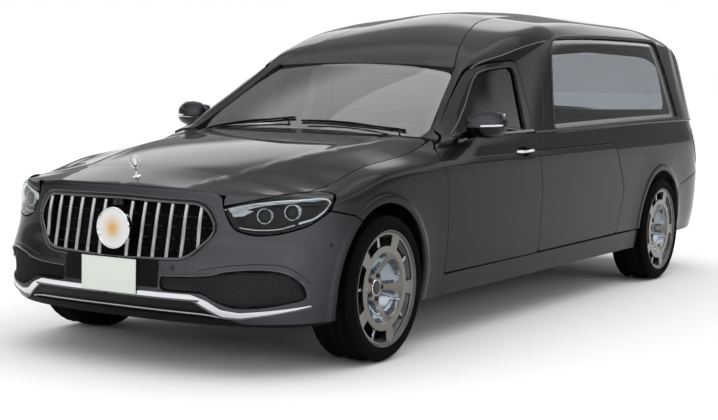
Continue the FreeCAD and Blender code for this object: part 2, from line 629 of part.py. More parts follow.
def make_floor():
    """Floor pan in two levels with the tunnel, bulkheads, wheel housings and jacking pads."""
    low, gauge = SIZE["FloorHeight"], SIZE["FloorGauge"]
    front = block((-788, 788), (520, 1900), (low, low + gauge))
    tunnel = block((-120, 120), (520, 1900), (low + gauge, 420))
    bore = block((-90, 90), (500, 1920), (low - 10, 390))
    toe_board = block((-788, 788), (560, 580), (low + gauge, 880))
    riser = block((-788, 788), (1880, 1900), (low + gauge, 500))
    rear = block((-788, 788), (1900, 4100), (470, 500))
    boot = block((-680, 680), (4100, 4540), (470, 500))
    pads = [block((700, 780), (s, s + 90), (low - 20, low)) for s in (700, 1700)]
    pads.append(block((700, 780), (3140, 3230), (low - 20, 470)))
    rear_arch = arch(REAR_AXLE, SIZE["ArchRadius"] + 24, 600, 840)
    housing = rear_arch.cut(arch(REAR_AXLE, SIZE["ArchRadius"] + 10, 616, 900))
    housing = housing.common(block((500, 840), (3000, 4400), (500, 900)))
    left = pads + [housing]
    right = [mirrored(shape) for shape in left]
    pan = front.multiFuse([tunnel, toe_board, riser, rear, boot] + left + right)
    wells = [arch(REAR_AXLE, SIZE["ArchRadius"] + 10, 616, 900)]
    wells.append(mirrored(wells[0]))
    pan = pan.cut(Part.makeCompound(wells + [bore]))
    feature("floor_pan", biggest(pan))
    liner = arch(FRONT_AXLE, SIZE["ArchRadius"] + 14, 492, 800)
    liner = liner.cut(arch(FRONT_AXLE, SIZE["ArchRadius"] + 4, 502, 900))
    liner = liner.common(block((480, 800), (-450, 450), (300, 900)))
    liner = liner.cut(block((480, 600), (-66, 66), (200, 900)))
    feature("wheel_liners", both_sides(biggest(liner)))


# ---------------------------------------------------------------- cabin and coffin deck
def side_pad(node, outline, width, x):
    """A piece of constant width, padded from its side outline of (station, height)."""
    body = new_body(node)
    sketch = sketch_on(body, "YZ_Plane", f"{node}_outline")
    add_profile(sketch, outline)
    padded(body, sketch, width)
    return place(body, x, 0, 0)


def make_cabin():
    """Seats, dashboard, steering wheel and partition."""
    seat = ((1150, 300), (1640, 300), (1800, 900), (1830, 1120), (1760, 1130), (1590, 560),
            (1140, 520), (1120, 420))
    pad = side_pad("seat_pad", seat, "490", 400)
    NODES.remove(pad)
    doc.recompute()
    feature("seats", both_sides(pad.Shape))
    dash = ((660, 700), (1010, 700), (1060, 780), (1020, 930), (900, 1000), (760, 1000), (660, 960))
    side_pad("dashboard", dash, "1500", 0)
    console = ((1000, 425), (1780, 425), (1780, 560), (1060, 600), (1012, 696))
    side_pad("centre_console", console, "220", 0)

    body = new_body("steering_wheel")
    sketch = sketch_on(body, "XZ_Plane", "steering_rim")
    add_circle(sketch, (SIZE["SteerWheelRadius"], 0), SIZE["SteerRimRadius"],
               "Sizes.SteerRimRadius")
    turn = body.newObject("PartDesign::Revolution", "steering_hoop")
    turn.Profile = sketch
    turn.ReferenceAxis = (sketch, ["V_Axis"])
    turn.Angle = 360
    hub = sketch_on(body, "XY_Plane", "steering_hub")
    add_circle(hub, (0, 0), 62)
    padded(body, hub, "56")
    spokes = sketch_on(body, "XY_Plane", "steering_spokes")
    reach = SIZE["SteerWheelRadius"]
    add_profile(spokes, [(-reach, -14), (reach, -14), (reach, 16), (-reach, 16)])
    padded(body, spokes, "16")
    body.Placement = FreeCAD.Placement(
        V(400, along(1135), 880), FreeCAD.Rotation(V(1, 0, 0), -65))

    half = ((745, 500), (745, 1000), (640, 1380), (560, 1440))
    wall = front_prism(symmetric(half), 1850, 1870)
    window = block((-560, 560), (1840, 1880), (1010, 1330))
    feature("partition", wall.cut(window))


def make_deck():
    """Coffin deck with rollers and bier pin holes."""
    length, width, gauge = SIZE["DeckLength"], SIZE["DeckWidth"], SIZE["DeckGauge"]
    body = new_body("load_deck")
    sketch = sketch_on(body, "XY_Plane", "deck_outline")
    corners = [(-width / 2, 0), (width / 2, 0), (width / 2, length), (-width / 2, length)]
    add_profile(sketch, corners, [(1, 0, "Sizes.DeckWidth / 2"), (2, 1, "Sizes.DeckLength")])
    padded(body, sketch, "Sizes.DeckGauge", False)
    holes = sketch_on(body, "XY_Plane", "bier_pins")
    for x in (-200, 200):
        for y in (300, 2100):
            add_circle(holes, (x, y), SIZE["PinHoleRadius"], "Sizes.PinHoleRadius")
    pocket = body.newObject("PartDesign::Pocket", "bier_pin_holes")
    pocket.Profile = holes
    pocket.Length = gauge
    pocket.Reversed = True
    place(body, 0, 1920, SIZE["DeckHeight"] - gauge)

    frames = [block((-width / 2, width / 2), (s, s + 40), (500, 770)) for s in (1920, 3100, 4300)]
    walls = [block((x, x + 20), (1920, 4340), (500, 770)) for x in (-width / 2, width / 2 - 20)]
    feature("deck_base", frames[0].multiFuse(frames[1:] + walls))

    top = SIZE["DeckHeight"] + SIZE["RollerRadius"] + 4
    pitch = (length - 500) / (SIZE["RollerCount"] - 1)
    rollers = []
    for index in range(int(SIZE["RollerCount"])):
        station = 1920 + 250 + index * pitch
        rollers.append(rod((-120, station, top), (120, station, top), SIZE["RollerRadius"]))
    rails = [block((x, x + 14), (2080, 4180), (SIZE["DeckHeight"], top + 6)) for x in (-134, 120)]
    feature("roller_track", rails[0].multiFuse(rails[1:] + rollers))


# ---------------------------------------------------------------- badge and plates
def make_badge_and_plates():
    """The round grille ornament, the plate holder and the blank plates."""
    badge = new_body("grille_disc")
    sketch = sketch_on(badge, "XZ_Plane", "disc_outline")
    add_circle(sketch, (0, 0), SIZE["BadgeRadius"], "Sizes.BadgeRadius")
    padded(badge, sketch, "Sizes.BadgeGauge")
    place(badge, 0, -842, 617)
    for node, station, height in (("front_plate", -858, 416), ("rear_plate", 4802, 680)):
        plate = new_body(node)
        sketch = sketch_on(plate, "XZ_Plane", f"{node}_outline")
        half, tall = SIZE["PlateWidth"] / 2, SIZE["PlateHeight"] / 2
        add_profile(sketch, [(-half, -tall), (half, -tall), (half, tall), (-half, tall)],
                    [(1, 0, "Sizes.PlateWidth / 2"), (2, 1, "Sizes.PlateHeight / 2")])
        padded(plate, sketch, "Sizes.PlateGauge")
        place(plate, 0, station, height)


# ---------------------------------------------------------------- build and write
def write_parts():
    """Checks every object and writes each sub-part to its own file."""
    doc.recompute()
    for obj in doc.Objects:
        if "Invalid" in obj.State or "Error" in obj.State:
            raise RuntimeError(f"{obj.Label} failed: {obj.State}")
    os.makedirs("parts", exist_ok=True)
    for obj in NODES:
        if obj.Shape.isNull() or not obj.Shape.isValid() or not obj.Shape.Solids:
            raise RuntimeError(f"{obj.Label} has no valid solid")
        obj.Shape.exportStep(f"parts/{obj.Label}.step")
        print(f"{obj.Label}: {obj.Shape.Volume / 1e6:.2f} litres")


make_front_end()
make_wings()
make_bonnet()
make_doors()
make_sides()
make_canopy()
make_tail()
make_wheels()
make_running_gear()
make_floor()
make_cabin()
make_deck()
make_badge_and_plates()
write_parts()
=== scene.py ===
"""Looks of the hearse: curved panels, glass, lamps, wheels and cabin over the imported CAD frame."""

import json
import logging
import math
from collections.abc import Callable, Iterable, Sequence
from dataclasses import dataclass, field
from enum import Enum

import bmesh
import bpy
import numpy as np
from mathutils import Matrix, Vector
from mathutils.geometry import delaunay_2d_cdt

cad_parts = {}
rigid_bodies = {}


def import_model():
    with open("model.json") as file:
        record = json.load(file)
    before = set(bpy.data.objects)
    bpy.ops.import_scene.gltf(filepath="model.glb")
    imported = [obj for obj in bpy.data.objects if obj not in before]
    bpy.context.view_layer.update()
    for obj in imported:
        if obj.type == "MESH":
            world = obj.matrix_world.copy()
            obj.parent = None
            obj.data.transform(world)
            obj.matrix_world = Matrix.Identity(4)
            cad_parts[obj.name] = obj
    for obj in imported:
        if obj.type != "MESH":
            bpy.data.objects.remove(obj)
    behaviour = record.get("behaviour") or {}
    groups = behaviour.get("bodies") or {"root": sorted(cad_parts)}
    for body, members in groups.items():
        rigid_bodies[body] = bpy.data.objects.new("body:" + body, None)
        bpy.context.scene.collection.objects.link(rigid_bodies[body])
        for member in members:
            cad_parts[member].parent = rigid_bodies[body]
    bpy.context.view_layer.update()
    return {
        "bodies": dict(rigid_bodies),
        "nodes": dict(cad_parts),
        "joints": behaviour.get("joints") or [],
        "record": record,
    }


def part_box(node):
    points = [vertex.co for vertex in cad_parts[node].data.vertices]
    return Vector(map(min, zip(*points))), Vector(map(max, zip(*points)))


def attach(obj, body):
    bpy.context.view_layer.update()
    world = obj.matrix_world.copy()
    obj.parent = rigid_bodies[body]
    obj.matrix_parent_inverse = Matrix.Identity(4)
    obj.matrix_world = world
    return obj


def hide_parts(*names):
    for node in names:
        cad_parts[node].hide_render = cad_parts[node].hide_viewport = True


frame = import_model()
LOG = logging.getLogger("hearse")
Array = np.ndarray
Points = Sequence[tuple[float, float]]
Plan = list[tuple[float, float]]
Track = Callable[[Array], Array]
Surface = Callable[[Array], Array]
Object = bpy.types.Object
Tree = bpy.types.NodeTree
Socket = bpy.types.NodeSocket

TINY = 1e-12  # keeps a length that is divided by away from nought
TOUCHING = 1e-6  # points closer than this count as one
ON_LINE = 1e-9  # a slip of rounding, not a distance
AGAINST_EDGE = 0.45  # the most of a side that a rounded corner may use


def box_centre(node: str) -> Vector:
    """The middle of a CAD node's box.

    Args:
        node: The node's name.

    Returns:
        The centre in metres.
    """
    low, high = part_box(node)
    return (low + high) / 2


FRONT_AXLE = box_centre("rim_front_left").y
REAR_AXLE = box_centre("rim_rear_left").y
WHEELBASE = REAR_AXLE - FRONT_AXLE
WHEEL_Z = box_centre("tyre_front_left").z


class Body(Enum):
    """The moving bodies that pieces ride on."""

    ROOT = "body"
    BONNET = "bonnet"
    DOOR_LEFT = "door_left"
    DOOR_RIGHT = "door_right"
    TAILGATE = "tailgate"


# ---------------------------------------------------------------- curves
def smooth_track(stations: Sequence[float], values: Sequence[float]) -> Track:
    """A monotone cubic curve through values at stations.

    Args:
        stations: Rising positions.
        values: The value at each position.

    Returns:
        A function that evaluates the curve, held level beyond its ends.
    """
    x = np.asarray(stations, float)
    y = np.asarray(values, float)
    step = np.diff(x)
    slope = np.diff(y) / step
    tangent = np.zeros_like(y)
    rising = slope[:-1] * slope[1:] > 0
    weight_a = 2 * step[1:] + step[:-1]
    weight_b = step[1:] + 2 * step[:-1]
    with np.errstate(divide="ignore", invalid="ignore"):
        mean = (weight_a + weight_b) / (weight_a / slope[:-1] + weight_b / slope[1:])
    tangent[1:-1] = np.where(rising, mean, 0)
    tangent[0], tangent[-1] = slope[0], slope[-1]

    def evaluate(at: Array) -> Array:
        """The track at some stations.

        Args:
            at: The stations.

        Returns:
            The values.
        """
        at = np.clip(np.asarray(at, float), x[0], x[-1])
        place = np.clip(np.searchsorted(x, at) - 1, 0, len(x) - 2)
        width = step[place]
        u = (at - x[place]) / width
        return ((1 + 2 * u) * (1 - u) ** 2 * y[place] + u * (1 - u) ** 2 * width * tangent[place]
                + u * u * (3 - 2 * u) * y[place + 1] + u * u * (u - 1) * width * tangent[place + 1])

    return evaluate


def rounded(corners: Points, radius: float, steps: int = 5, closed: bool = True) -> Plan:
    """An outline or an open line with its corners turned into arcs.

    Args:
        corners: The corners in order.
        radius: The most that each corner is cut back.
        steps: Points on each corner.
        closed: Whether the last corner joins the first.

    Returns:
        The rounded line.
    """
    result = [] if closed else [corners[0]]
    count = len(corners)
    for index in range(count) if closed else range(1, count - 1):
        here, before = Vector(corners[index]), Vector(corners[index - 1])
        after = Vector(corners[(index + 1) % count])
        reach = min(radius, (before - here).length * AGAINST_EDGE,
                    (after - here).length * AGAINST_EDGE)
        start = here + (before - here).normalized() * reach
        end = here + (after - here).normalized() * reach
        for step in range(steps + 1):
            u = step / steps
            point = start * (1 - u) ** 2 + here * 2 * u * (1 - u) + end * u * u
            result.append((point.x, point.y))
    return result if closed else [*result, corners[-1]]


def arc(centre: tuple[float, float], radius: float, start: float, end: float,
        steps: int = 40) -> Plan:
    """Points on an arc, with angles in degrees."""
    angles = np.radians(np.linspace(start, end, steps))
    return [(centre[0] + radius * math.cos(a), centre[1] + radius * math.sin(a)) for a in angles]


def circle(count: int, radius: float = 1.0) -> Plan:
    """Evenly spaced points on a circle about the origin."""
    return [(radius * math.cos(a), radius * math.sin(a))
            for a in np.linspace(0, 2 * math.pi, count, endpoint=False)]


def bisected(low: Array, high: Array, holds: Callable[[Array], Array], steps: int = 40) -> Array:
    """Where a test that holds at the low ends stops holding.

    Args:
        low: Places where the test holds.
        high: Places where it doesn't.
        holds: The test, for an array of places.
        steps: How often the range is halved.

    Returns:
        The last places where it holds.
    """
    for _ in range(steps):
        middle = (low + high) / 2
        held = holds(middle)
        low, high = np.where(held, middle, low), np.where(held, high, middle)
    return low


def spline(points: Sequence, steps: int = 6) -> list[tuple]:
    """An open smooth curve through points in a plane or in space.

    Args:
        points: The points to pass through.
        steps: Points made for each one given.

    Returns:
        The points of the curve.
    """
    control = np.asarray(points, float)
    padded = np.vstack([2 * control[0] - control[1], control, 2 * control[-1] - control[-2]])
    result = []
    for index in range(len(control) - 1):
        a, b, c, d = padded[index:index + 4]
        for u in np.linspace(0, 1, steps, endpoint=False):
            result.append(tuple(0.5 * (2 * b + (c - a) * u + (2 * a - 5 * b + 4 * c - d) * u * u
                                       + (3 * b - a - 3 * c + d) * u ** 3)))
    return [*result, tuple(control[-1])]


def dense(outline: Points, pitch: float) -> Array:
    """A closed outline with points added so that no side is longer than pitch.

    Args:
        outline: The closed outline.
        pitch: The longest side that is left.

    Returns:
        The denser outline.
    """
    result = []
    corners = [np.asarray(p, float) for p in outline]
    for a, b in zip(corners, corners[1:] + corners[:1]):
        length = np.linalg.norm(b - a)
        if length < TOUCHING:
            continue
        count = max(1, math.ceil(length / pitch))
        result += [a + (b - a) * i / count for i in range(count)]
    return np.array(result)


def inside(points: Array, outline: Array) -> Array:
    """Which points lie inside a closed outline.

    Args:
        points: The points.
        outline: The outline.

    Returns:
        A truth value for each point.
    """
    x, y = points[:, 0], points[:, 1]
    result = np.zeros(len(points), bool)
    for (ax, ay), (bx, by) in zip(outline, np.roll(outline, -1, 0)):
        crosses = (ay > y) != (by > y)
        with np.errstate(divide="ignore", invalid="ignore"):
            edge = (bx - ax) * (y - ay) / (by - ay) + ax
        result ^= crosses & (x < edge)
    return result


def distance_to(points: Array, outline: Array) -> Array:
    """The distance from each point to a closed outline.

    Args:
        points: The points.
        outline: The outline.

    Returns:
        The distances in metres.
    """
    best = np.full(len(points), 1e9)
    for a, b in zip(outline, np.roll(outline, -1, 0)):
        run = b - a
        u = np.clip(((points - a) @ run) / max(run @ run, TINY), 0, 1)
        best = np.minimum(best, np.linalg.norm(points - a - u[:, None] * run, axis=1))
    return best


# ---------------------------------------------------------------- body surfaces
def columns_of(rows: Sequence[Sequence[float]]) -> list[Track]:
    """A smooth curve along the car for every column after the stations."""
    table = list(zip(*rows))
    return [smooth_track(table[0], column) for column in table[1:]]


def hinge(value: Array, width: float) -> Array:
    """A rounded ramp: nought below zero, the value above it."""
    return (value + np.sqrt(value * value + width * width)) / 2


# Columns: station, then z and x of sill, lower crease, waist, lower and upper belt crease,
# shoulder and top.
FLANK = (
    (-0.80, .235, .868, .33, .884, .56, .900, .700, .897, .735, .888, .775, .850, .806, .790),
    (-0.43, .235, .872, .33, .890, .56, .910, .752, .901, .777, .892, .792, .850, .806, .770),
    (0.00, .236, .876, .36, .896, .60, .919, .845, .906, .869, .897, .880, .850, .890, .770),
    (0.40, .240, .878, .380, .900, .62, .923, .862, .907, .892, .896, .914, .852, .936, .770),
    (0.70, .240, .880, .374, .902, .62, .925, .869, .907, .904, .894, .950, .866, .992, .800),
    (1.00, .240, .880, .372, .903, .62, .926, .873, .907, .909, .894, .962, .879, 1.010, .862),
    (1.70, .240, .882, .368, .903, .62, .926, .882, .907, .915, .894, .970, .878, 1.020, .862),
    (2.90, .245, .882, .360, .903, .64, .926, .894, .906, .928, .894, .984, .878, 1.038, .862),
    (3.68, .262, .876, .368, .898, .65, .924, .900, .903, .935, .892, .992, .876, 1.050, .862),
    (4.30, .290, .866, .400, .888, .65, .914, .905, .897, .940, .886, .998, .868, 1.056, .852),
    (4.84, .320, .852, .430, .872, .65, .896, .905, .888, .940, .878, .998, .860, 1.056, .845),
)
FLANK_SOFTNESS = (0.012, 0.20, 0.010, 0.010, 0.012)  # how softly each crease turns
NOSE_START, TAIL_START = -0.27, 3.90  # the stations where the ends begin to draw in
TURN = 0.93  # the run that each radian of an end takes up
QUARTER_TURN = TURN * math.pi / 2
NOSE_CENTRE = NOSE_START - QUARTER_TURN
TAIL_CENTRE = TAIL_START + QUARTER_TURN
# The nose's station on the car's middle line, by height.
NOSE_LINE = smooth_track(
    (0.20, 0.235, 0.27, 0.30, 0.345, 0.42, 0.50, 0.617, 0.75, 0.80, 0.83),
    (-0.76, -0.80, -0.826, -0.842, -0.850, -0.850, -0.838, -0.808, -0.791, -0.785, -0.775))
# How square the nose is in plan, by height: 2 is an ellipse and more is squarer.
NOSE_POWER = smooth_track((0.45, 0.60, 0.72, 0.80), (2.7, 2.4, 2.45, 2.7))
# The tail's station on the car's middle line, by height.
TAIL_LINE = smooth_track(
    (0.25, 0.30, 0.42, 0.56, 0.70, 0.75, 0.90, 1.06, 1.26, 1.45, 1.52, 1.60, 1.65),
    (4.76, 4.81, 4.834, 4.836, 4.822, 4.802, 4.775, 4.735, 4.695, 4.635, 4.580, 4.470, 4.400))
TAIL_POWER = 5.0
ARCH_RADIUS = 0.392
ARCH_LIP = 0.036  # the lip's width round the arch
LIP_HEIGHT = 0.005  # how far the lip stands out
LIP_EDGE = 0.005  # how softly it ends
FLARE_HEIGHT = 0.006  # a broad, low swell round the arch
FLARE_REACH = 0.11


def arch_swell(station: Array, z: Array) -> Array:
    """How far the wheel arch lips stand out of the flank.

    Args:
        station: Distances behind the front axle, in metres.
        z: Heights in metres.

    Returns:
        The swell in metres.
    """
    total = np.zeros_like(station)
    for axle in (0.0, WHEELBASE):
        reach = np.hypot(station - axle, z - WHEEL_Z)
        edge = (ARCH_RADIUS + ARCH_LIP - reach) / LIP_EDGE
        total = total + LIP_HEIGHT / (1 + np.exp(-np.clip(edge, -30, 30)))
        total = total + FLARE_HEIGHT * np.exp(-((reach - ARCH_RADIUS) / FLARE_REACH) ** 2)
    return total


class BodySide:
    """The body below the windows, over run and rise.

    The run is the station along the flank and goes on round the nose and the tail. The rise is
    the height, stretched over the shoulder, where the surface lies nearly flat.
    """

    columns = columns_of(FLANK)
    # How much faster the rise grows than the height above the upper belt crease, by station.
    stretch = staticmethod(smooth_track((-0.55, -0.30, 0.0, 0.4, 0.7, 1.0),
                                        (1.0, 4.5, 6.5, 3.2, 1.6, 1.1)))

    def half_width(self, station: Array, z: Array) -> Array:
        """Half-width before the ends are drawn in.

        Args:
            station: Distances behind the front axle, in metres.
            z: Heights in metres.

        Returns:
            The half-widths in metres.
        """
        heights = [track(station) for track in self.columns[0::2]]
        widths = [track(station) for track in self.columns[1::2]]
        slopes = [(b - a) / (top - low) for a, b, low, top
                  in zip(widths, widths[1:], heights, heights[1:])]
        x = widths[0] + slopes[0] * (z - heights[0])
        for index, width in enumerate(FLANK_SOFTNESS):
            turn = slopes[index + 1] - slopes[index]
            x = x + turn * hinge(z - heights[index + 1], width)
        return x

    def position(self, run: Array, z: Array) -> tuple[Array, Array]:
        """x and station for a run and a height.

        Args:
            run: Places along the side, which runs on round the ends.
            z: Heights in metres.

        Returns:
            The x values and the stations.
        """
        nose = run < NOSE_START
        tail = run > TAIL_START
        start = np.where(nose, NOSE_START, TAIL_START)
        past = np.where(nose, NOSE_START - run, run - TAIL_START)
        angle = math.pi / 2 - past / TURN
        depth = np.where(nose, NOSE_START - NOSE_LINE(z), TAIL_LINE(z) - TAIL_START)
        power = np.where(nose, NOSE_POWER(z), TAIL_POWER)
        sine, cosine = np.sin(angle), np.abs(np.cos(angle))
        sign = np.where(nose, -1.0, 1.0)
        station = start
        for _ in range(4):
            width = self.half_width(station, z)
            reach = ((np.abs(sine) / width) ** power + (cosine / depth) ** power) ** (-1 / power)
            station = start + sign * reach * cosine
        flat = ~(nose | tail)
        station = np.where(flat, run, station)
        x = np.where(flat, self.half_width(run, z), reach * sine)
        swell = arch_swell(station, z) * np.where(flat, 1, np.clip(sine, 0, 1))
        return x + swell, station

    def crease(self, run: Array) -> Array:
        """The height of the upper belt crease."""
        return self.columns[8](run)

    def height(self, plan: Array) -> Array:
        """The height for a run and a rise.

        Args:
            plan: Plan coordinates, one pair to a row.

        Returns:
            The heights in metres.
        """
        crease = self.crease(plan[:, 0])
        above = plan[:, 1] - crease
        return np.where(above > 0, crease + above / self.stretch(plan[:, 0]), plan[:, 1])

    def __call__(self, plan: Array) -> Array:
        """Points for (run, rise).

        Args:
            plan: Plan coordinates, one pair to a row.

        Returns:
            The points in the car's frame.
        """
        z = self.height(plan)
        x, station = self.position(plan[:, 0], z)
        return np.stack([x, station + FRONT_AXLE, z], 1)

    def rise(self, run: Array, z: Array) -> Array:
        """The rise for a run and a height.

        Args:
            run: Places along the side, which runs on round the ends.
            z: Heights in metres.

        Returns:
            The rise values.
        """
        crease = self.crease(run)
        above = z - crease
        return np.where(above > 0, crease + above * self.stretch(run), z)

    def on_side(self, outline: Points) -> Plan:
        """Plan coordinates of points given as (station, height).

        Args:
            outline: The outline.

        Returns:
            The run and rise of each point.
        """
        target, z = np.asarray(outline, float).T
        run = bisected(np.full(len(z), NOSE_CENTRE), np.full(len(z), TAIL_CENTRE),
                       lambda place: self.position(place, z)[1] < target)
        return list(zip(run, self.rise(run, z)))

    def on_end(self, outline: Points, tail: bool = False) -> Plan:
        """Plan coordinates of points given as (x, height).

        Args:
            outline: The points, seen from the front or the back.
            tail: Whether they are on the tail.

        Returns:
            The run and rise of each point.
        """
        target, z = np.asarray(outline, float).T
        centre, start = (TAIL_CENTRE, TAIL_START) if tail else (NOSE_CENTRE, NOSE_START)
        run = bisected(np.full(len(z), 2 * centre - start), np.full(len(z), start),
                       lambda place: self.position(place, z)[0] < target)
        return list(zip(run, self.rise(run, z)))


def along_width(side: BodySide, stations: Sequence[float], width: float) -> Plan:
    """Plan coordinates of the upper line on which the side is width from the middle.

    Args:
        side: The body's side.
        stations: Where the points lie.
        width: Their x.

    Returns:
        One point for each station.
    """
    low, high = np.full(len(stations), 0.76), np.full(len(stations), 1.04)
    for _ in range(22):
        middle = (low + high) / 2
        plan = np.array(side.on_side(list(zip(stations, middle))))
        wide = side(plan)[:, 0] > width
        low, high = np.where(wide, middle, low), np.where(wide, high, middle)
    return [tuple(p) for p in plan]


def flank_guides(side: BodySide) -> Array:
    """Plan points close together along the flank's creases and round the wheel arches.

    Args:
        side: The side's surface.

    Returns:
        The plan points.
    """
    runs = np.arange(-.60, 4.80, 0.022)
    groups = []
    for column, offsets in ((2, (-.020, -.009, 0, .009, .020)), (6, (-.018, -.008, 0, .008, .018)),
                            (8, (-.014, -.006, 0, .006)), (10, (-.012, -.004, .004, .014))):
        for offset in offsets:
            z = side.columns[column](runs) + offset
            groups.append(np.stack([runs, side.rise(runs, z)], 1))
    for axle in (0.0, WHEELBASE):
        for offset in (.007, .014, .022, .028, .032, .036, .040, .046, .058, .080):
            ring = arc((axle, WHEEL_Z), ARCH_RADIUS + offset, -18, 198, 74)
            groups.append(np.array(side.on_side(ring)))
    return np.vstack(groups)


class BonnetTop:
    """The bonnet's top, as height over x and station."""

    front_edge, fade = -0.80, 0.3  # the hollow and the ridges start at the edge and grow
    hollow = 0.022  # how far the middle falls away between the creases
    ridge, ridge_width = 0.004, 0.035
    softness = 0.05  # how softly the creases turn
    shut_stations = (-0.47, -0.43, -0.35, -0.25, -0.15, -0.05, 0.05, 0.15, 0.25, 0.35, 0.45, 0.52,
                     0.58, 0.64, 0.70)
    shut_heights = BodySide()(np.array(along_width(BodySide(), shut_stations, 0.769)))[:, 2]

    centre = staticmethod(smooth_track((-0.80, -0.785, -0.74, -0.669, -0.4, 0.0, 0.4, 0.70),
                                       (0.800, 0.807, 0.818, 0.835, 0.897, 0.964, 1.008, 1.036)))
    edge = staticmethod(smooth_track((-0.80, -0.72, -0.63, -0.55, *shut_stations),
                                     (0.790, 0.792, 0.788, 0.789, *(shut_heights - 0.0005))))
    edge_x = staticmethod(smooth_track((-0.80, -0.72, -0.63, -0.52, -0.43, 0.70),
                                       (0.45, 0.54, 0.70, 0.755, 0.770, 0.770)))
    crease_x = staticmethod(smooth_track((-0.80, -0.4, 0.70), (0.34, 0.46, 0.60)))

    def __call__(self, plan: Array) -> Array:
        """Points for (x, station).

        Args:
            plan: Plan coordinates, one pair to a row.

        Returns:
            The points in the car's frame.
        """
        across, station = np.abs(plan[:, 0]), plan[:, 1]
        crease = self.crease_x(station)
        front = np.clip((station - self.front_edge) / self.fade, 0, 1)
        dip = self.hollow * front
        inner = dip * np.minimum(across / crease, 1) ** 2
        fall = (self.centre(station) - dip - self.edge(station)) / (self.edge_x(station) - crease)
        ridge = self.ridge * front * np.exp(-((across - crease) / self.ridge_width) ** 2)
        z = self.centre(station) - inner - fall * hinge(across - crease, self.softness) + ridge
        return np.stack([plan[:, 0], station + FRONT_AXLE, z], 1)


# Columns: station, then z and x of belt, window top, shoulder, roof seam.
CANOPY = (
    (0.60, .975, .815, .980, .785, .985, .740, .990, .700),
    (0.76, .997, .858, 1.036, .790, 1.046, .742, 1.042, .702),
    (1.00, 1.010, .862, 1.178, .740, 1.194, .690, 1.188, .640),
    (1.27, 1.014, .862, 1.332, .690, 1.360, .642, 1.358, .572),
    (1.40, 1.016, .862, 1.372, .702, 1.432, .652, 1.432, .520),
    (1.55, 1.018, .862, 1.412, .716, 1.484, .664, 1.500, .468),
    (1.83, 1.022, .862, 1.488, .738, 1.568, .672, 1.592, .382),
    (2.10, 1.026, .862, 1.545, .750, 1.618, .672, 1.652, .320),
    (2.25, 1.028, .862, 1.560, .752, 1.640, .664, 1.676, .322),
    (3.00, 1.040, .862, 1.586, .756, 1.672, .650, 1.716, .330),
    (3.70, 1.050, .862, 1.592, .750, 1.672, .640, 1.716, .330),
    (4.20, 1.055, .853, 1.580, .722, 1.642, .612, 1.684, .320),
    (4.42, 1.056, .832, 1.555, .690, 1.596, .590, 1.636, .300),
    (4.60, 1.056, .786, 1.420, .690, 1.450, .610, 1.470, .300),
    (4.72, 1.056, .700, 1.075, .690, 1.085, .640, 1.086, .300),
)
CANOPY_KNOTS = (0.0, 0.55, 0.66, 1.0)  # the girths of CANOPY's four lines
CANOPY_SOFTNESS = (0.020, 0.045)
# The roof's height on the car's middle line, by station.
ROOF_CENTRE = smooth_track(
    (1.20, 1.29, 1.40, 1.55, 1.83, 2.10, 2.28, 2.60, 3.00, 3.60, 4.20, 4.40, 4.50),
    (1.332, 1.378, 1.440, 1.512, 1.612, 1.676, 1.706, 1.730, 1.742, 1.742, 1.706, 1.658, 1.60))


class Canopy:
    """The left side of the canopy from the belt up to the roof seam, over station and girth."""

    columns = columns_of(CANOPY)
    lowest, highest = -0.12, 0.72  # the girths between which on_side looks

    def __call__(self, plan: Array) -> Array:
        """Points for (station, girth), girth running over CANOPY_KNOTS.

        Args:
            plan: Plan coordinates, one pair to a row.

        Returns:
            The points in the car's frame.
        """
        station, girth = plan[:, 0], plan[:, 1]
        x_and_z = []
        for offset in (1, 0):
            values = [track(station) for track in self.columns[offset::2]]
            slopes = [(b - a) / (high - low) for a, b, low, high
                      in zip(values, values[1:], CANOPY_KNOTS, CANOPY_KNOTS[1:])]
            value = values[0] + slopes[0] * girth
            for index, width in enumerate(CANOPY_SOFTNESS):
                value = value + (slopes[index + 1] - slopes[index]) * hinge(
                    girth - CANOPY_KNOTS[index + 1], width)
            x_and_z.append(value)
        return np.stack([x_and_z[0], station + FRONT_AXLE, x_and_z[1]], 1)

    def on_side(self, outline: Points) -> Plan:
        """Plan coordinates of points given as (station, height), up to the shoulder.

        Args:
            outline: The outline.

        Returns:
            The station and girth of each point.
        """
        station, z = np.asarray(outline, float).T
        girth = bisected(np.full(len(z), self.lowest), np.full(len(z), self.highest),
                         lambda middle: self(np.stack([station, middle], 1))[:, 2] < z, 36)
        return list(zip(station, girth))


class RoofTop:
    """The roof between the seams, as height over x and station."""

    canopy = Canopy()

    def __call__(self, plan: Array) -> Array:
        """Points for (x, station).

        Args:
            plan: Plan coordinates, one pair to a row.

        Returns:
            The points in the car's frame.
        """
        x, station = plan[:, 0], plan[:, 1]
        seam = self.canopy(np.stack([station, np.ones_like(station)], 1))
        centre = ROOF_CENTRE(station)
        z = centre - (centre - seam[:, 2]) * (x / seam[:, 0]) ** 2
        return np.stack([x, station + FRONT_AXLE, z], 1)


class ScreenFace:
    """The windscreen, as height over x and station."""

    foot, length = 0.66, 0.63
    foot_height, climb = 1.030, 0.346
    bulge = 0.012
    foot_curve, curve_loss = 0.150, 0.080

    def __call__(self, plan: Array) -> Array:
        """Points for (x, station).

        Args:
            plan: Plan coordinates, one pair to a row.

        Returns:
            The points in the car's frame.
        """
        x, station = plan[:, 0], plan[:, 1]
        rise = (station - self.foot) / self.length
        arch = self.bulge * np.sin(np.pi * np.clip(rise, 0, 1))
        centre = self.foot_height + self.climb * rise + arch
        curve = self.foot_curve - self.curve_loss * rise
        return np.stack([x, station + FRONT_AXLE, centre - curve * x * x], 1)


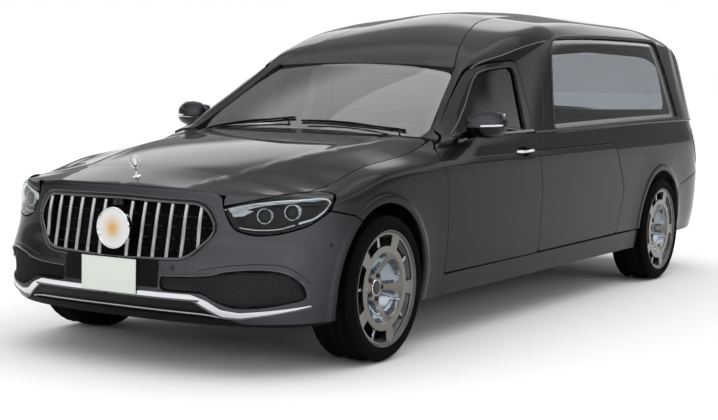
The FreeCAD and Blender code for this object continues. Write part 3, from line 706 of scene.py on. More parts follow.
class HatchFace:
    """The tailgate above the belt, as station over x and height."""

    half_width = 0.6
    crown, crown_from, crown_run = 0.05, 1.2, 0.3  # how the top edge falls to the sides
    sweep = 0.03  # how far the sides lie forward of the middle

    def __call__(self, plan: Array) -> Array:
        """Points for (x, height).

        Args:
            plan: Plan coordinates, one pair to a row.

        Returns:
            The points in the car's frame.
        """
        x, z = plan[:, 0], plan[:, 1]
        across = np.abs(x) / self.half_width
        crown = self.crown * across ** 2 * np.clip((z - self.crown_from) / self.crown_run, 0, 1)
        station = TAIL_LINE(z + crown) - self.sweep * across ** 3
        return np.stack([x, station + FRONT_AXLE, z], 1)


@dataclass(frozen=True)
class Raised:
    """A surface moved along its own normal."""

    base: Surface
    amount: float

    def __call__(self, plan: Array) -> Array:
        """Points for the base's own coordinates."""
        return self.base(plan) + normals(self.base, plan) * self.amount


NORMAL_STEP = 4e-4
CORE_REACH, CORE_HEIGHT = 1.9, 0.55  # the line in the car that normals point away from


def normals(surface: Surface, plan: Array) -> Array:
    """Unit normals that point out of the car.

    Args:
        surface: The surface.
        plan: Plan coordinates, one pair to a row.

    Returns:
        The normals, one to a row.
    """
    step = NORMAL_STEP
    along = surface(plan + [step, 0]) - surface(plan - [step, 0])
    across = surface(plan + [0, step]) - surface(plan - [0, step])
    normal = np.cross(along, across)
    normal /= np.maximum(np.linalg.norm(normal, axis=1, keepdims=True), TINY)
    here = surface(plan)
    middle = np.stack([np.zeros(len(here)), np.clip(here[:, 1], -CORE_REACH, CORE_REACH),
                       np.full(len(here), CORE_HEIGHT)], 1)
    outward = np.sum(normal * (here - middle), axis=1, keepdims=True)
    return normal * np.where(outward < 0, -1, 1)


# ---------------------------------------------------------------- meshes
def new_object(name: str, points: Array, faces: list, vertex_normals: Array | None = None
               ) -> Object:
    """A mesh object from points and faces, smooth, with its own normals if given.

    Args:
        name: The object's name.
        points: The points.
        faces: The faces as point numbers.
        vertex_normals: Normals of its own, if it has them.

    Returns:
        The object.
    """
    mesh = bpy.data.meshes.new(name)
    mesh.from_pydata([tuple(p) for p in points], [], faces)
    mesh.update()
    mesh.polygons.foreach_set("use_smooth", [True] * len(mesh.polygons))
    if vertex_normals is not None:
        mesh.normals_split_custom_set_from_vertices([tuple(n) for n in vertex_normals])
    result = bpy.data.objects.new(name, mesh)
    bpy.context.scene.collection.objects.link(result)
    return result


GUIDE_GAP = 0.005  # guides keep at least this far from an edge
DIAGONAL = 0.7071


def triangulated(outline: Array, holes: Sequence[Array], pitch: float,
                 guides: Array | None = None) -> tuple[Array, list, list]:
    """Fills an outline with even triangles.

    Args:
        outline: The outer loop.
        holes: Loops that stay open.
        pitch: Distance between inner points.
        guides: Further points, close together along creases.

    Returns:
        Points, triangles, and the loops as lists of point numbers.
    """
    low, high = outline.min(0), outline.max(0)
    across = np.arange(low[0] + pitch / 2, high[0], pitch)
    up = np.arange(low[1] + pitch / 2, high[1], pitch)
    grid = np.array([(a, b) for a in across for b in up])
    if len(grid):
        keep = inside(grid, outline) & (distance_to(grid, outline) > pitch * 0.5)
        for hole in holes:
            keep &= ~inside(grid, hole) & (distance_to(grid, hole) > pitch * 0.5)
        grid = grid[keep]
    if guides is not None:
        keep = inside(guides, outline) & (distance_to(guides, outline) > GUIDE_GAP)
        for hole in holes:
            keep &= ~inside(guides, hole) & (distance_to(guides, hole) > GUIDE_GAP)
        guides = guides[keep]
        if len(guides) and len(grid):
            near = [np.hypot(*(guides - point).T).min() for point in grid]
            grid = grid[np.array(near) > pitch * 0.4]
        grid = np.vstack([grid.reshape(-1, 2), guides])
    rings = [outline, *holes]
    points = np.vstack([*rings, grid]) if len(grid) else np.vstack(rings)
    edges, loops, start = [], [], 0
    for ring in rings:
        numbers = list(range(start, start + len(ring)))
        edges += list(zip(numbers, numbers[1:] + numbers[:1]))
        loops.append(numbers)
        start += len(ring)
    found = delaunay_2d_cdt([Vector(p) for p in points], edges, [], 0, 1e-7)
    places = np.array([tuple(p) for p in found[0]])
    triangles = np.array([t for t in found[2] if len(t) == 3])
    centres = places[triangles].mean(1)
    keep = inside(centres, outline)
    for hole in holes:
        keep &= ~inside(centres, hole)
    corners = places[triangles]
    area = np.cross(corners[:, 1] - corners[:, 0], corners[:, 2] - corners[:, 0])
    keep &= np.abs(area) > 1e-9
    origin = {old: new for new, group in enumerate(found[3]) for old in group}
    loops = [[origin[number] for number in loop] for loop in loops]
    return places, triangles[keep].tolist(), loops


def panel(name: str, surface: Surface, outline: Points,
          holes: Sequence[Points] = (), pitch: float = 0.03, gauge: float = 0.014,
          edge: float = 0.002, guides: Array | None = None) -> Object:
    """A pressed panel on a surface, trimmed to an outline, its edges rounded and turned in.

    Args:
        name: The object's name.
        surface: Maps plan coordinates to points.
        outline: The shut line in plan coordinates.
        holes: Openings in plan coordinates.
        pitch: Mesh size in metres.
        gauge: How deep the turned edge goes.
        edge: The edge's radius.
        guides: Further points along creases.

    Returns:
        The panel as a closed mesh.
    """
    rings = [dense(outline, pitch * 0.6)] + [dense(hole, pitch * 0.6) for hole in holes]
    plan, triangles, loops = triangulated(rings[0], rings[1:], pitch, guides)
    points = surface(plan)
    normal = normals(surface, plan)
    corners = points[np.array(triangles)]
    facing = np.cross(corners[:, 1] - corners[:, 0], corners[:, 2] - corners[:, 0])
    if np.sum(facing * normal[np.array(triangles)[:, 0]]) < 0:
        triangles = [t[::-1] for t in triangles]
    count = len(points)
    all_points = [points.copy(), points - normal * gauge]
    all_normals = [normal, -normal]
    faces = [tuple(t) for t in triangles]
    faces += [tuple(count + i for i in t[::-1]) for t in triangles]
    total = 2 * count
    directed = {(a, b) for t in triangles for a, b in zip(t, t[1:] + t[:1])}
    for loop in loops:
        if (loop[0], loop[1]) not in directed:
            loop = loop[::-1]
        here = points[loop]
        up = normal[loop]
        run = np.roll(here, -1, 0) - np.roll(here, 1, 0)
        run /= np.maximum(np.linalg.norm(run, axis=1, keepdims=True), TINY)
        out = np.cross(run, up)
        all_points[0][loop] = here - out * edge
        rings3 = ((here - out * edge * 0.3 - up * edge * 0.3, (out + up) * DIAGONAL),
                  (here - up * edge, out), (here - up * gauge, out))
        numbers = [np.array(loop)]
        for place, facing_out in rings3:
            all_points.append(place)
            all_normals.append(facing_out)
            numbers.append(np.arange(total, total + len(loop)))
            total += len(loop)
        for upper, lower in zip(numbers, numbers[1:]):
            for a, b, c, d in zip(upper, np.roll(upper, -1), np.roll(lower, -1), lower):
                faces.append((int(b), int(a), int(d), int(c)))
    return new_object(name, np.vstack(all_points), faces, np.vstack(all_normals))


def mirrored(source: Object, name: str) -> Object:
    """A copy of a panel on the car's other side.

    Args:
        source: The object to copy.
        name: The new object's name.

    Returns:
        The mirrored object.
    """
    mesh = source.data
    points = np.array([tuple(v.co) for v in mesh.vertices]) * [-1, 1, 1]
    faces = [tuple(p.vertices)[::-1] for p in mesh.polygons]
    normal = np.zeros((len(points), 3))
    for number, loop in enumerate(mesh.loops):
        normal[loop.vertex_index] = mesh.corner_normals[number].vector
    made = new_object(name, points, faces, normal * [-1, 1, 1])
    for material in mesh.materials:
        made.data.materials.append(material)
    return made


def finished(mesh: bpy.types.Mesh, name: str, sharp: float = 35) -> Object:
    """Links a mesh as an object, smooth but for edges turned more than sharp degrees.

    Args:
        mesh: The mesh.
        name: The object's name.
        sharp: Edges over this many degrees stay sharp.

    Returns:
        The object.
    """
    mesh.polygons.foreach_set("use_smooth", [True] * len(mesh.polygons))
    mesh.set_sharp_from_angle(angle=math.radians(sharp))
    made = bpy.data.objects.new(name, mesh)
    bpy.context.scene.collection.objects.link(made)
    return made


def solid(name: str, points: Iterable, faces: Sequence, sharp: float = 35) -> Object:
    """An object from points and faces.

    Args:
        name: The object's name.
        points: The points.
        faces: The faces as point numbers.
        sharp: Edges over this many degrees stay sharp.

    Returns:
        The object.
    """
    mesh = bpy.data.meshes.new(name)
    mesh.from_pydata([tuple(p) for p in points], [], faces)
    mesh.update()
    return finished(mesh, name, sharp)


def joined(name: str, parts: Sequence[Object]) -> Object:
    """Several objects as one, each keeping its material and its smooth edges.

    Args:
        name: The object's name.
        parts: The objects.

    Returns:
        The one object.
    """
    target = parts[0]
    with bpy.context.temp_override(active_object=target, object=target,
                                   selected_objects=list(parts),
                                   selected_editable_objects=list(parts)):
        bpy.ops.object.join()
    target.name = name
    target.data.name = name
    return target


def turned(name: str, profile: Points, axis: str = "x", steps: int = 64,
           sharp: float = 30) -> Object:
    """A closed profile of (place on the axis, radius) turned about an axis.

    Args:
        name: The object's name.
        profile: The closed profile.
        axis: x or z.
        steps: Segments round the axis.
        sharp: Edges over this many degrees stay sharp.

    Returns:
        The turned object, its axis through the origin.
    """
    points = []
    for step in range(steps):
        angle = 2 * math.pi * step / steps
        for place, radius in profile:
            a, b = radius * math.cos(angle), radius * math.sin(angle)
            points.append((place, a, b) if axis == "x" else (a, b, place))
    made = solid(name, points, strips(steps, len(profile), True), sharp)
    made.data.validate()
    return outward(made)


def outward(made: Object) -> Object:
    """Turns a closed mesh's faces outwards and merges points that coincide.

    Args:
        made: The mesh object.

    Returns:
        The same object.
    """
    edit = bmesh.new()
    edit.from_mesh(made.data)
    bmesh.ops.remove_doubles(edit, verts=edit.verts, dist=TOUCHING)
    bmesh.ops.recalc_face_normals(edit, faces=edit.faces)
    edit.to_mesh(made.data)
    edit.free()
    return made


def strips(rows: int, count: int, wrap: bool = False) -> list[tuple[int, ...]]:
    """The faces between rows of points, each row closed on itself.

    Args:
        rows: How many rows there are.
        count: Points in a row.
        wrap: Whether the last row joins the first.

    Returns:
        The faces as point numbers.
    """
    faces = []
    for row in range(rows if wrap else rows - 1):
        here, after = row * count, (row + 1) % rows * count
        for index in range(count):
            follow = (index + 1) % count
            faces.append((here + index, here + follow, after + follow, after + index))
    return faces


def tube(name: str, path: Sequence, radius: float | Sequence[float], sides: int = 12,
         closed: bool = False, flat: float = 1.0) -> Object:
    """A round or oval bar along a path.

    Args:
        name: The object's name.
        path: Points in space.
        radius: One radius, or one for each point.
        sides: Segments round the bar.
        closed: Whether the path is a loop.
        flat: The second half-axis as a share of the first.

    Returns:
        The bar.
    """
    line = [Vector(p) for p in path]
    radii = [radius] * len(line) if isinstance(radius, (int, float)) else list(radius)
    count = len(line)
    points = []
    side = None
    for index, here in enumerate(line):
        before = line[index - 1] if closed or index else here
        after = line[(index + 1) % count] if closed or index < count - 1 else here
        ahead = (after - before).normalized()
        if side is None:
            side = ahead.cross(Vector((0, 0, 1)))
            side = side if side.length > 0.5 else ahead.cross(Vector((1, 0, 0)))
        side = (side - ahead * side.dot(ahead)).normalized()
        up = side.cross(ahead)
        for step in range(sides):
            angle = 2 * math.pi * step / sides
            across = side * math.cos(angle) + up * math.sin(angle) * flat
            points.append(here + across * radii[index])
    faces = strips(count, sides, closed)
    if not closed:
        faces.append(tuple(range(sides))[::-1])
        faces.append(tuple(range((count - 1) * sides, count * sides)))
    return outward(solid(name, points, faces, 50))


def slab(name: str, outline: Points, depth: float, place: Callable, bevel: float = 0.0,
         holes: Sequence[Points] = (), pitch: float = 0.2, sharp: float = 35) -> Object:
    """A flat or bent plate from an outline.

    Args:
        name: The object's name.
        outline: The outline in plan coordinates.
        depth: The plate's thickness.
        place: Maps (a, b, depth) to a point.
        bevel: The upper edge's chamfer.
        holes: Openings in plan coordinates.
        pitch: Mesh size.
        sharp: Edges over this many degrees stay sharp.

    Returns:
        The plate.
    """
    rings = [np.array(outline, float)] + [np.array(hole, float) for hole in holes]
    plan, triangles, loops = triangulated(rings[0], rings[1:], pitch)
    count = len(plan)
    upper = plan.copy()
    if bevel:
        for number, loop in enumerate(loops):
            ring = plan[loop]
            run = np.roll(ring, -1, 0) - np.roll(ring, 1, 0)
            run /= np.maximum(np.linalg.norm(run, axis=1, keepdims=True), TINY)
            twice_area = np.sum(ring[:, 0] * np.roll(ring[:, 1], -1)
                                - ring[:, 1] * np.roll(ring[:, 0], -1))
            turn = (1 if twice_area > 0 else -1) * (1 if number == 0 else -1)
            upper[loop] = ring + np.stack([-run[:, 1], run[:, 0]], 1) * turn * bevel
    points = [place(a, b, 0.0) for a, b in upper]
    points += [place(a, b, depth) for a, b in plan]
    faces = [tuple(t) for t in triangles]
    faces += [tuple(count + i for i in t[::-1]) for t in triangles]
    for loop in loops:
        middle = {}
        if bevel:
            for i in loop:
                middle[i] = len(points)
                points.append(place(plan[i, 0], plan[i, 1], min(bevel, depth / 2)))
        for a, b in zip(loop, loop[1:] + loop[:1]):
            if bevel:
                faces.append((a, b, middle[b], middle[a]))
                faces.append((middle[a], middle[b], count + b, count + a))
            else:
                faces.append((a, b, count + b, count + a))
    return outward(solid(name, points, faces, sharp))


def box(name: str, low: Sequence, high: Sequence, radius: float = 0.0,
        segments: int = 3) -> Object:
    """A block with rounded edges.

    Args:
        name: The object's name.
        low: The lower corner.
        high: The upper corner.
        radius: The radius of the edges.
        segments: Faces across a rounded edge.

    Returns:
        The block.
    """
    edit = bmesh.new()
    bmesh.ops.create_cube(edit, size=1.0)
    low, high = Vector(low), Vector(high)
    for vertex in edit.verts:
        for axis in range(3):
            vertex.co[axis] = high[axis] if vertex.co[axis] > 0 else low[axis]
    if radius:
        bmesh.ops.bevel(edit, geom=edit.edges[:], offset=radius, segments=segments, profile=0.5,
                        affect="EDGES", clamp_overlap=True)
    mesh = bpy.data.meshes.new(name)
    edit.to_mesh(mesh)
    edit.free()
    return finished(mesh, name, 40)


def moved(made: Object, where: Sequence = (0, 0, 0), turn: Matrix | None = None) -> Object:
    """Bakes a turn and then a move into a mesh.

    Args:
        made: The object.
        where: How far it moves.
        turn: A turn that comes first, if there is one.

    Returns:
        The same object.
    """
    matrix = Matrix.Translation(Vector(where))
    if turn is not None:
        matrix = matrix @ turn.to_4x4()
    made.data.transform(matrix)
    return made


def loft(name: str, rings: Sequence[Sequence], sharp: float = 50) -> Object:
    """A closed skin over rings of points.

    Args:
        name: The object's name.
        rings: Rings with the same number of points.
        sharp: Edges over this many degrees stay sharp.

    Returns:
        The skin, closed at both ends.
    """
    count = len(rings[0])
    points = [p for ring in rings for p in ring]
    faces = strips(len(rings), count)
    faces.append(tuple(range(count))[::-1])
    faces.append(tuple(range(len(points) - count, len(points))))
    return outward(solid(name, points, faces, sharp))


def copied(source: Object) -> Object:
    """A copy of an object with a mesh of its own.

    Args:
        source: The object to copy.

    Returns:
        The copy.
    """
    made = source.copy()
    made.data = source.data.copy()
    bpy.context.scene.collection.objects.link(made)
    return made


def cut_by_plane(made: Object, where: Sequence, away: Sequence) -> Object:
    """Cuts off what lies on the away side of a plane and closes the cut.

    Args:
        made: The object.
        where: A point on the plane.
        away: The side that is cut off.

    Returns:
        The same object.
    """
    edit = bmesh.new()
    edit.from_mesh(made.data)
    geometry = edit.verts[:] + edit.edges[:] + edit.faces[:]
    cut = bmesh.ops.bisect_plane(edit, geom=geometry, plane_co=where, plane_no=away,
                                 clear_outer=True)
    edges = [e for e in cut["geom_cut"] if isinstance(e, bmesh.types.BMEdge)]
    bmesh.ops.holes_fill(edit, edges=edges)
    edit.to_mesh(made.data)
    edit.free()
    made.data.set_sharp_from_angle(angle=math.radians(40))
    return made


# ---------------------------------------------------------------- finishes
def linear(code: str) -> tuple[float, float, float, float]:
    """A hex sRGB colour as linear light."""
    values = [int(code[i:i + 2], 16) / 255 for i in (1, 3, 5)]
    return (*[v / 12.92 if v <= 0.04045 else ((v + 0.055) / 1.055) ** 2.4 for v in values], 1.0)


def add_node(tree: Tree, kind: str, settings: dict | None = None,
             links: dict | None = None) -> bpy.types.Node:
    """Adds a shader node.

    Args:
        tree: The node tree.
        kind: The node's type without its ShaderNode prefix.
        settings: Attributes, or input names or numbers, and their values.
        links: Input names or numbers, and the output sockets that feed them.

    Returns:
        The node.
    """
    made = tree.nodes.new("ShaderNode" + kind)
    for key, value in (settings or {}).items():
        if isinstance(key, str) and hasattr(made, key):
            setattr(made, key, value)
        else:
            made.inputs[key].default_value = value
    for key, socket in (links or {}).items():
        tree.links.new(socket, made.inputs[key])
    return made


def per_mm(size: float) -> float:
    """The texture scale at which one cell is size millimetres."""
    return 1000 / size


SMOOTHER, ROUGHER = 0.85, 1.15  # how much the roughness changes with the grain
MOTTLE_MM = 90  # broad, faint patches of lighter and darker colour
FLAKE_MM = 0.9  # coarser than real flakes, which would be too fine to show
PEEL_MM = 9  # the lacquer's orange peel
PEEL_DEPTH = 0.000004
VEIN_MM = 22
DUST_MM = 60
WAVES = 20  # a wave texture shows this many bands where a noise shows one cell
ALONG_Y = 0.02  # how far a brushed line is drawn out
WOOD_ALONG_Y = 0.06


@dataclass(frozen=True)
class Finish:
    """A real material and how its surface was made."""

    name: str
    colour: str
    rough: float = 0.4
    metal: float = 0.0
    coat: float = 0.0
    grain_mm: float = 2.0
    relief_mm: float = 0.02
    spread: float = 0.12
    extra: dict = field(default_factory=dict)

    def material(self) -> bpy.types.Material:
        """The material, built once.

        Returns:
            The material.
        """
        found = bpy.data.materials.get(self.name)
        if found:
            return found
        made = bpy.data.materials.new(self.name)
        made.use_nodes = True
        tree = made.node_tree
        tree.nodes.clear()
        place = add_node(tree, "TexCoord").outputs["Object"]
        shader = self.shader(tree, place)
        add_node(tree, "OutputMaterial", links={"Surface": shader})
        return made

    def shader(self, tree: Tree, place: Socket) -> Socket:
        """The surface: mottled colour and roughness over fine grain.

        Args:
            tree: The material's nodes.
            place: The object's own coordinates.

        Returns:
            The shader's output.
        """
        height = self.grain(tree, place)
        mottle = add_node(tree, "TexNoise", {"Scale": per_mm(MOTTLE_MM), "Detail": 4.0},
                          {"Vector": place}).outputs["Fac"]
        pale = [min(1.0, c * (1 + self.spread)) for c in linear(self.colour)[:3]] + [1.0]
        dark = [c * (1 - self.spread) for c in linear(self.colour)[:3]] + [1.0]
        colour = add_node(tree, "Mix", {"data_type": "RGBA", 6: dark, 7: pale},
                          {0: mottle}).outputs[2]
        rough = add_node(tree, "MapRange", {"To Min": self.rough * SMOOTHER,
                                            "To Max": self.rough * ROUGHER},
                         {"Value": height}).outputs["Result"]
        bump = add_node(tree, "Bump", {"Distance": self.relief_mm / 1000, "Strength": 1.0},
                        {"Height": height}).outputs["Normal"]
        settings = {"Metallic": self.metal, "Coat Weight": self.coat, "Coat Roughness": 0.03}
        settings.update(self.extra)
        links = {"Base Color": colour, "Roughness": rough, "Normal": bump}
        return add_node(tree, "BsdfPrincipled", settings, links).outputs["BSDF"]

    def grain(self, tree: Tree, place: Socket) -> Socket:
        """The height of the surface's grain."""
        return add_node(tree, "TexNoise", {"Scale": per_mm(self.grain_mm), "Detail": 3.0},
                        {"Vector": place}).outputs["Fac"]


class Pebbled(Finish):
    """A moulded or hide grain of small cells."""

    def grain(self, tree: Tree, place: Socket) -> Socket:
        """Cells with soft valleys between them.

        Args:
            tree: The material's nodes.
            place: The object's own coordinates.

        Returns:
            The height of the grain.
        """
        return add_node(tree, "TexVoronoi", {"Scale": per_mm(self.grain_mm),
                                             "feature": "SMOOTH_F1", "Smoothness": 0.6},
                        {"Vector": place}).outputs["Distance"]


class Brushed(Finish):
    """A surface with fine lines along Y."""

    def grain(self, tree: Tree, place: Socket) -> Socket:
        """Noise drawn out along Y.

        Args:
            tree: The material's nodes.
            place: The object's own coordinates.

        Returns:
            The height of the grain.
        """
        drawn = add_node(tree, "Mapping", {"Scale": (1.0, ALONG_Y, 1.0)}, {"Vector": place})
        return add_node(tree, "TexNoise", {"Scale": per_mm(self.grain_mm), "Detail": 4.0},
                        {"Vector": drawn.outputs[0]}).outputs["Fac"]


class Lathed(Finish):
    """A face turned on a lathe about X, with fine rings."""

    def grain(self, tree: Tree, place: Socket) -> Socket:
        """Rings about the X axis.

        Args:
            tree: The material's nodes.
            place: The object's own coordinates.

        Returns:
            The height of the grain.
        """
        return add_node(tree, "TexWave", {"Scale": per_mm(self.grain_mm) / WAVES,
                                          "wave_type": "RINGS", "rings_direction": "X",
                                          "Distortion": 0.3, "Detail": 2.0},
                        {"Vector": place}).outputs["Fac"]


class Woven(Finish):
    """Cloth or carpet with crossed threads."""

    def grain(self, tree: Tree, place: Socket) -> Socket:
        """Two sets of bands multiplied.

        Args:
            tree: The material's nodes.
            place: The object's own coordinates.

        Returns:
            The height of the grain.
        """
        bands = [add_node(tree, "TexWave", {"Scale": per_mm(self.grain_mm) / WAVES,
                                            "bands_direction": direction, "Distortion": 0.6},
                          {"Vector": place}).outputs["Fac"] for direction in ("Y", "Z")]
        return add_node(tree, "Math", {"operation": "MULTIPLY"},
                        {0: bands[0], 1: bands[1]}).outputs[0]


class Grained(Finish):
    """Lacquered wood with grain along Y."""

    def shader(self, tree: Tree, place: Socket) -> Socket:
        """Wavy grain lines between two browns.

        Args:
            tree: The material's nodes.
            place: The object's own coordinates.

        Returns:
            The shader's output.
        """
        drawn = add_node(tree, "Mapping", {"Scale": (1.0, WOOD_ALONG_Y, 1.0)}, {"Vector": place})
        lines = add_node(tree, "TexNoise", {"Scale": per_mm(VEIN_MM), "Detail": 8.0,
                                            "Distortion": 0.8},
                         {"Vector": drawn.outputs[0]}).outputs["Fac"]
        colour = add_node(tree, "Mix", {"data_type": "RGBA", 6: linear("#2a140a"),
                                        7: linear("#7a4424")}, {0: lines}).outputs[2]
        bump = add_node(tree, "Bump", {"Distance": self.relief_mm / 1000}, {"Height": lines})
        return add_node(tree, "BsdfPrincipled", {"Roughness": self.rough, "Coat Weight": 0.8},
                        {"Base Color": colour, "Normal": bump.outputs[0]}).outputs["BSDF"]


class FlakePaint(Finish):
    """Metallic paint: flakes in a dark base under clear lacquer."""

    def shader(self, tree: Tree, place: Socket) -> Socket:
        """Flakes tilt the base layer; the lacquer stays smooth but for faint orange peel.

        Args:
            tree: The material's nodes.
            place: The object's own coordinates.

        Returns:
            The shader's output.
        """
        flakes = add_node(tree, "TexVoronoi", {"Scale": per_mm(FLAKE_MM)}, {"Vector": place})
        peel = add_node(tree, "TexNoise", {"Scale": per_mm(PEEL_MM), "Detail": 1.0},
                        {"Vector": place})
        tilt = add_node(tree, "VectorMath", {"operation": "SUBTRACT", 1: (0.5, 0.5, 0.5)},
                        {0: flakes.outputs["Color"]})
        small = add_node(tree, "VectorMath", {"operation": "SCALE", "Scale": 0.10},
                         {0: tilt.outputs[0]})
        straight = add_node(tree, "NewGeometry").outputs["Normal"]
        leaning = add_node(tree, "VectorMath", {"operation": "ADD"},
                           {0: straight, 1: small.outputs[0]})
        normal = add_node(tree, "VectorMath", {"operation": "NORMALIZE"},
                          {0: leaning.outputs[0]}).outputs[0]
        sparkle = add_node(tree, "MapRange", {"To Min": 0.9, "To Max": 1.25},
                           {"Value": flakes.outputs["Distance"]}).outputs["Result"]
        # The base colour falls to a tenth at a slant. This is metallic flop pushed so far that it is
        # also painted shade, standing in for dark reflections along the flank.
        facing = add_node(tree, "LayerWeight", {"Blend": 0.5}).outputs["Facing"]
        flop_and_painted_shade = add_node(tree, "MapRange", {"From Min": 0.04, "From Max": 0.46, "To Min": 1.0,
                                           "To Max": 0.10}, {"Value": facing}).outputs["Result"]
        value = add_node(tree, "Math", {"operation": "MULTIPLY"}, {0: sparkle, 1: flop_and_painted_shade}).outputs[0]
        colour = add_node(tree, "HueSaturation", {"Color": linear(self.colour)},
                          {"Value": value}).outputs[0]
        skin = add_node(tree, "Bump", {"Distance": PEEL_DEPTH, "Strength": 0.5},
                        {"Height": peel.outputs["Fac"]}).outputs[0]
        return add_node(tree, "BsdfPrincipled",
                        {"Metallic": self.metal, "Roughness": self.rough, "Coat Weight": 1.0,
                         "Coat Roughness": 0.02, "Coat IOR": 1.15, "Specular IOR Level": 0.0},
                        {"Base Color": colour, "Normal": normal, "Coat Normal": skin}
                        ).outputs["BSDF"]


class Pane(Finish):
    """Window glass: tinted, clear, with reflections that grow at a slant."""

    def shader(self, tree: Tree, place: Socket) -> Socket:
        """Clear tint mixed with a mirror coat; faint dust dulls the mirror.

        Args:
            tree: The material's nodes.
            place: The object's own coordinates.

        Returns:
            The shader's output.
        """
        dust = add_node(tree, "TexNoise", {"Scale": per_mm(DUST_MM), "Detail": 5.0},
                        {"Vector": place})
        rough = add_node(tree, "MapRange", {"From Min": 0.5, "From Max": 0.8, "To Min": 0.0,
                                            "To Max": 0.05}, {"Value": dust.outputs["Fac"]})
        clear = add_node(tree, "BsdfTransparent", {"Color": linear(self.colour)})
        shine = add_node(tree, "BsdfGlossy", {"Color": (1, 1, 1, 1)},
                         {"Roughness": rough.outputs["Result"]})
        mirror = add_node(tree, "LayerWeight", {"Blend": self.rough}).outputs["Fresnel"]
        behind = add_node(tree, "NewGeometry").outputs["Backfacing"]
        slant = add_node(tree, "Mix", {3: 0.0}, {0: behind, 2: mirror}).outputs[0]
        return add_node(tree, "MixShader", None,
                        {0: slant, 1: clear.outputs[0], 2: shine.outputs[0]}).outputs[0]


# Fine flakes glint under a clear lacquer: light grey face on, nearly black at a slant. That fall in
# the base colour is partly flop and partly painted shade.
PAINT = FlakePaint("metallic_grey_paint_lacquered", "#4a4c50", 0.40, 0.25)
# Smooth from a polished mould: a deep black with small, clear reflections.
GLOSS_BLACK = Finish("black_plastic_gloss_moulded", "#050506", 0.14, relief_mm=0.001,
                     extra={"Specular IOR Level": 0.3})
# A dull black that hides the inside of a lamp behind its cover.
BOWL_BLACK = Finish("black_lamp_bowl_moulded", "#040405", 0.45, grain_mm=9, relief_mm=0.004,
                    extra={"Specular IOR Level": 0.2})
# Fine pebbles from an etched mould: an even, dull black with no clear reflection.
BLACK_PLASTIC = Pebbled("black_plastic_grained_moulded", "#0b0b0c", 0.6, grain_mm=1.2,
                        extra={"Specular IOR Level": 0.08})
# A satin dark grey on black mesh, lifted above the black duct behind as a painted highlight, so that
# the bars of a mesh show.
MESH_BLACK = Finish("black_mesh_satin_painted_highlight", "#2b2d2f", 0.4, grain_mm=1.2, relief_mm=0.01)
# A matt black line that frames the glass.
RUBBER_SEAL = Finish("black_rubber_extruded_seal", "#0a0a0b", 0.6, relief_mm=0.01)
# Nearly without shine, so that the sidewall stays dark in full light.
TYRE_RUBBER = Finish("tyre_rubber_vulcanised", "#0c0c0d", 0.8, grain_mm=1.5, relief_mm=0.05,
                     extra={"Specular IOR Level": 0.03})
# A mirror with hardly any tint.
CHROME = Finish("chrome_plated_polished", "#d9dbde", 0.06, 1.0, relief_mm=0.001, spread=0.02)
# A mirror blurred to a soft, pale sheen.
SATIN_CHROME = Finish("chrome_plated_satin", "#a9abad", 0.24, 1.0, relief_mm=0.002, spread=0.03)
# A smoky mirror: bright lines that stay darker than chrome. Along the front blade's lower edge it is
# painted shade.
DARK_CHROME = Finish("dark_chrome_plated", "#5c5e61", 0.12, 1.0, relief_mm=0.001, spread=0.03)
# Warm metal with lathe rings that draw the light out into a bow.
# The rings are drawn coarser than real ones, so that they show.
WHEEL_FACE = Lathed("aluminium_diamond_turned", "#6c6964", 0.26, 1.0, 0.3, 0.5, 0.004, 0.04)
# A cool mirror that shows the sky and the ground, against the warmer face. Its blue-grey tint is a
# painted sky reflection.
WHEEL_DISH = Finish("aluminium_mirror_polished", "#8b939c", 0.09, 1.0, 0.0, 4.0, 0.002, 0.04)
# Silver paint over a casting: grey, soft and without clear reflections.
WHEEL_BARREL = Finish("aluminium_cast_painted", "#4c4d50", 0.38, 0.8, 0.2, 1.5, 0.01)
# Grey iron with turned rings, drawn coarser than real ones.
BRAKE_IRON = Lathed("grey_iron_turned", "#6f6c68", 0.38, 0.9, 0.0, 0.8, 0.02)
# Rough, dark and dull, with the grain of the sand.
CAST_IRON = Finish("cast_iron_sand_cast", "#2f2d2b", 0.75, 0.5, grain_mm=3.0, relief_mm=0.2)
# Long fine scratches that draw each highlight out along the pipe or the rail.
STEEL = Brushed("steel_brushed", "#8d8f92", 0.32, 1.0, grain_mm=1.5)
# A rough black spray that swallows the light under the floor.
COATED_STEEL = Finish("steel_underseal_sprayed", "#151516", 0.7, grain_mm=4.0, relief_mm=0.15)
# Small pebbles with a soft sheen on the crowns of the cushions.
LEATHER = Pebbled("leather_stitched_dyed", "#17181a", 0.45, grain_mm=1.6, relief_mm=0.06)
# A dull, fine-grained black without glare.
SOFT_BLACK = Pebbled("soft_touch_slush_moulded", "#121314", 0.6, grain_mm=1.0, relief_mm=0.03)
# A pale grey weave. Its threads are drawn coarser than real ones.
WALL_CLOTH = Woven("wool_cloth_woven_grey", "#8b8984", 0.85, grain_mm=2.4, relief_mm=0.12)
# A pale, even knit that takes all shine off the ceiling.
HEADLINER = Woven("headliner_cloth_knitted", "#b9b6ae", 0.9, grain_mm=3.0, relief_mm=0.01)
# A dark pile, deep enough to look soft.
CARPET = Woven("carpet_tufted_charcoal", "#1d1d1f", 0.95, grain_mm=3.0, relief_mm=0.6)
# Dark wavy grain under a clear lacquer.
DECK_WOOD = Grained("walnut_veneer_lacquered", "#4a2818", 0.22)
# A bright silver film inside the lamps.
SILVER_TRIM = Finish("silver_lamp_trim_metallised", "#c6c9cd", 0.16, 1.0, relief_mm=0.002)
# A milky white that looks lit even when it is off.
WHITE_GUIDE = Finish("white_light_guide_moulded", "#eef2f5", 0.25, coat=0.6, relief_mm=0.004,
                     spread=0.03)
# White enamel with a faint gloss.
PLATE_WHITE = Finish("plate_aluminium_enamelled", "#d5dad2", 0.35, coat=0.5, relief_mm=0.01,
                     spread=0.03)
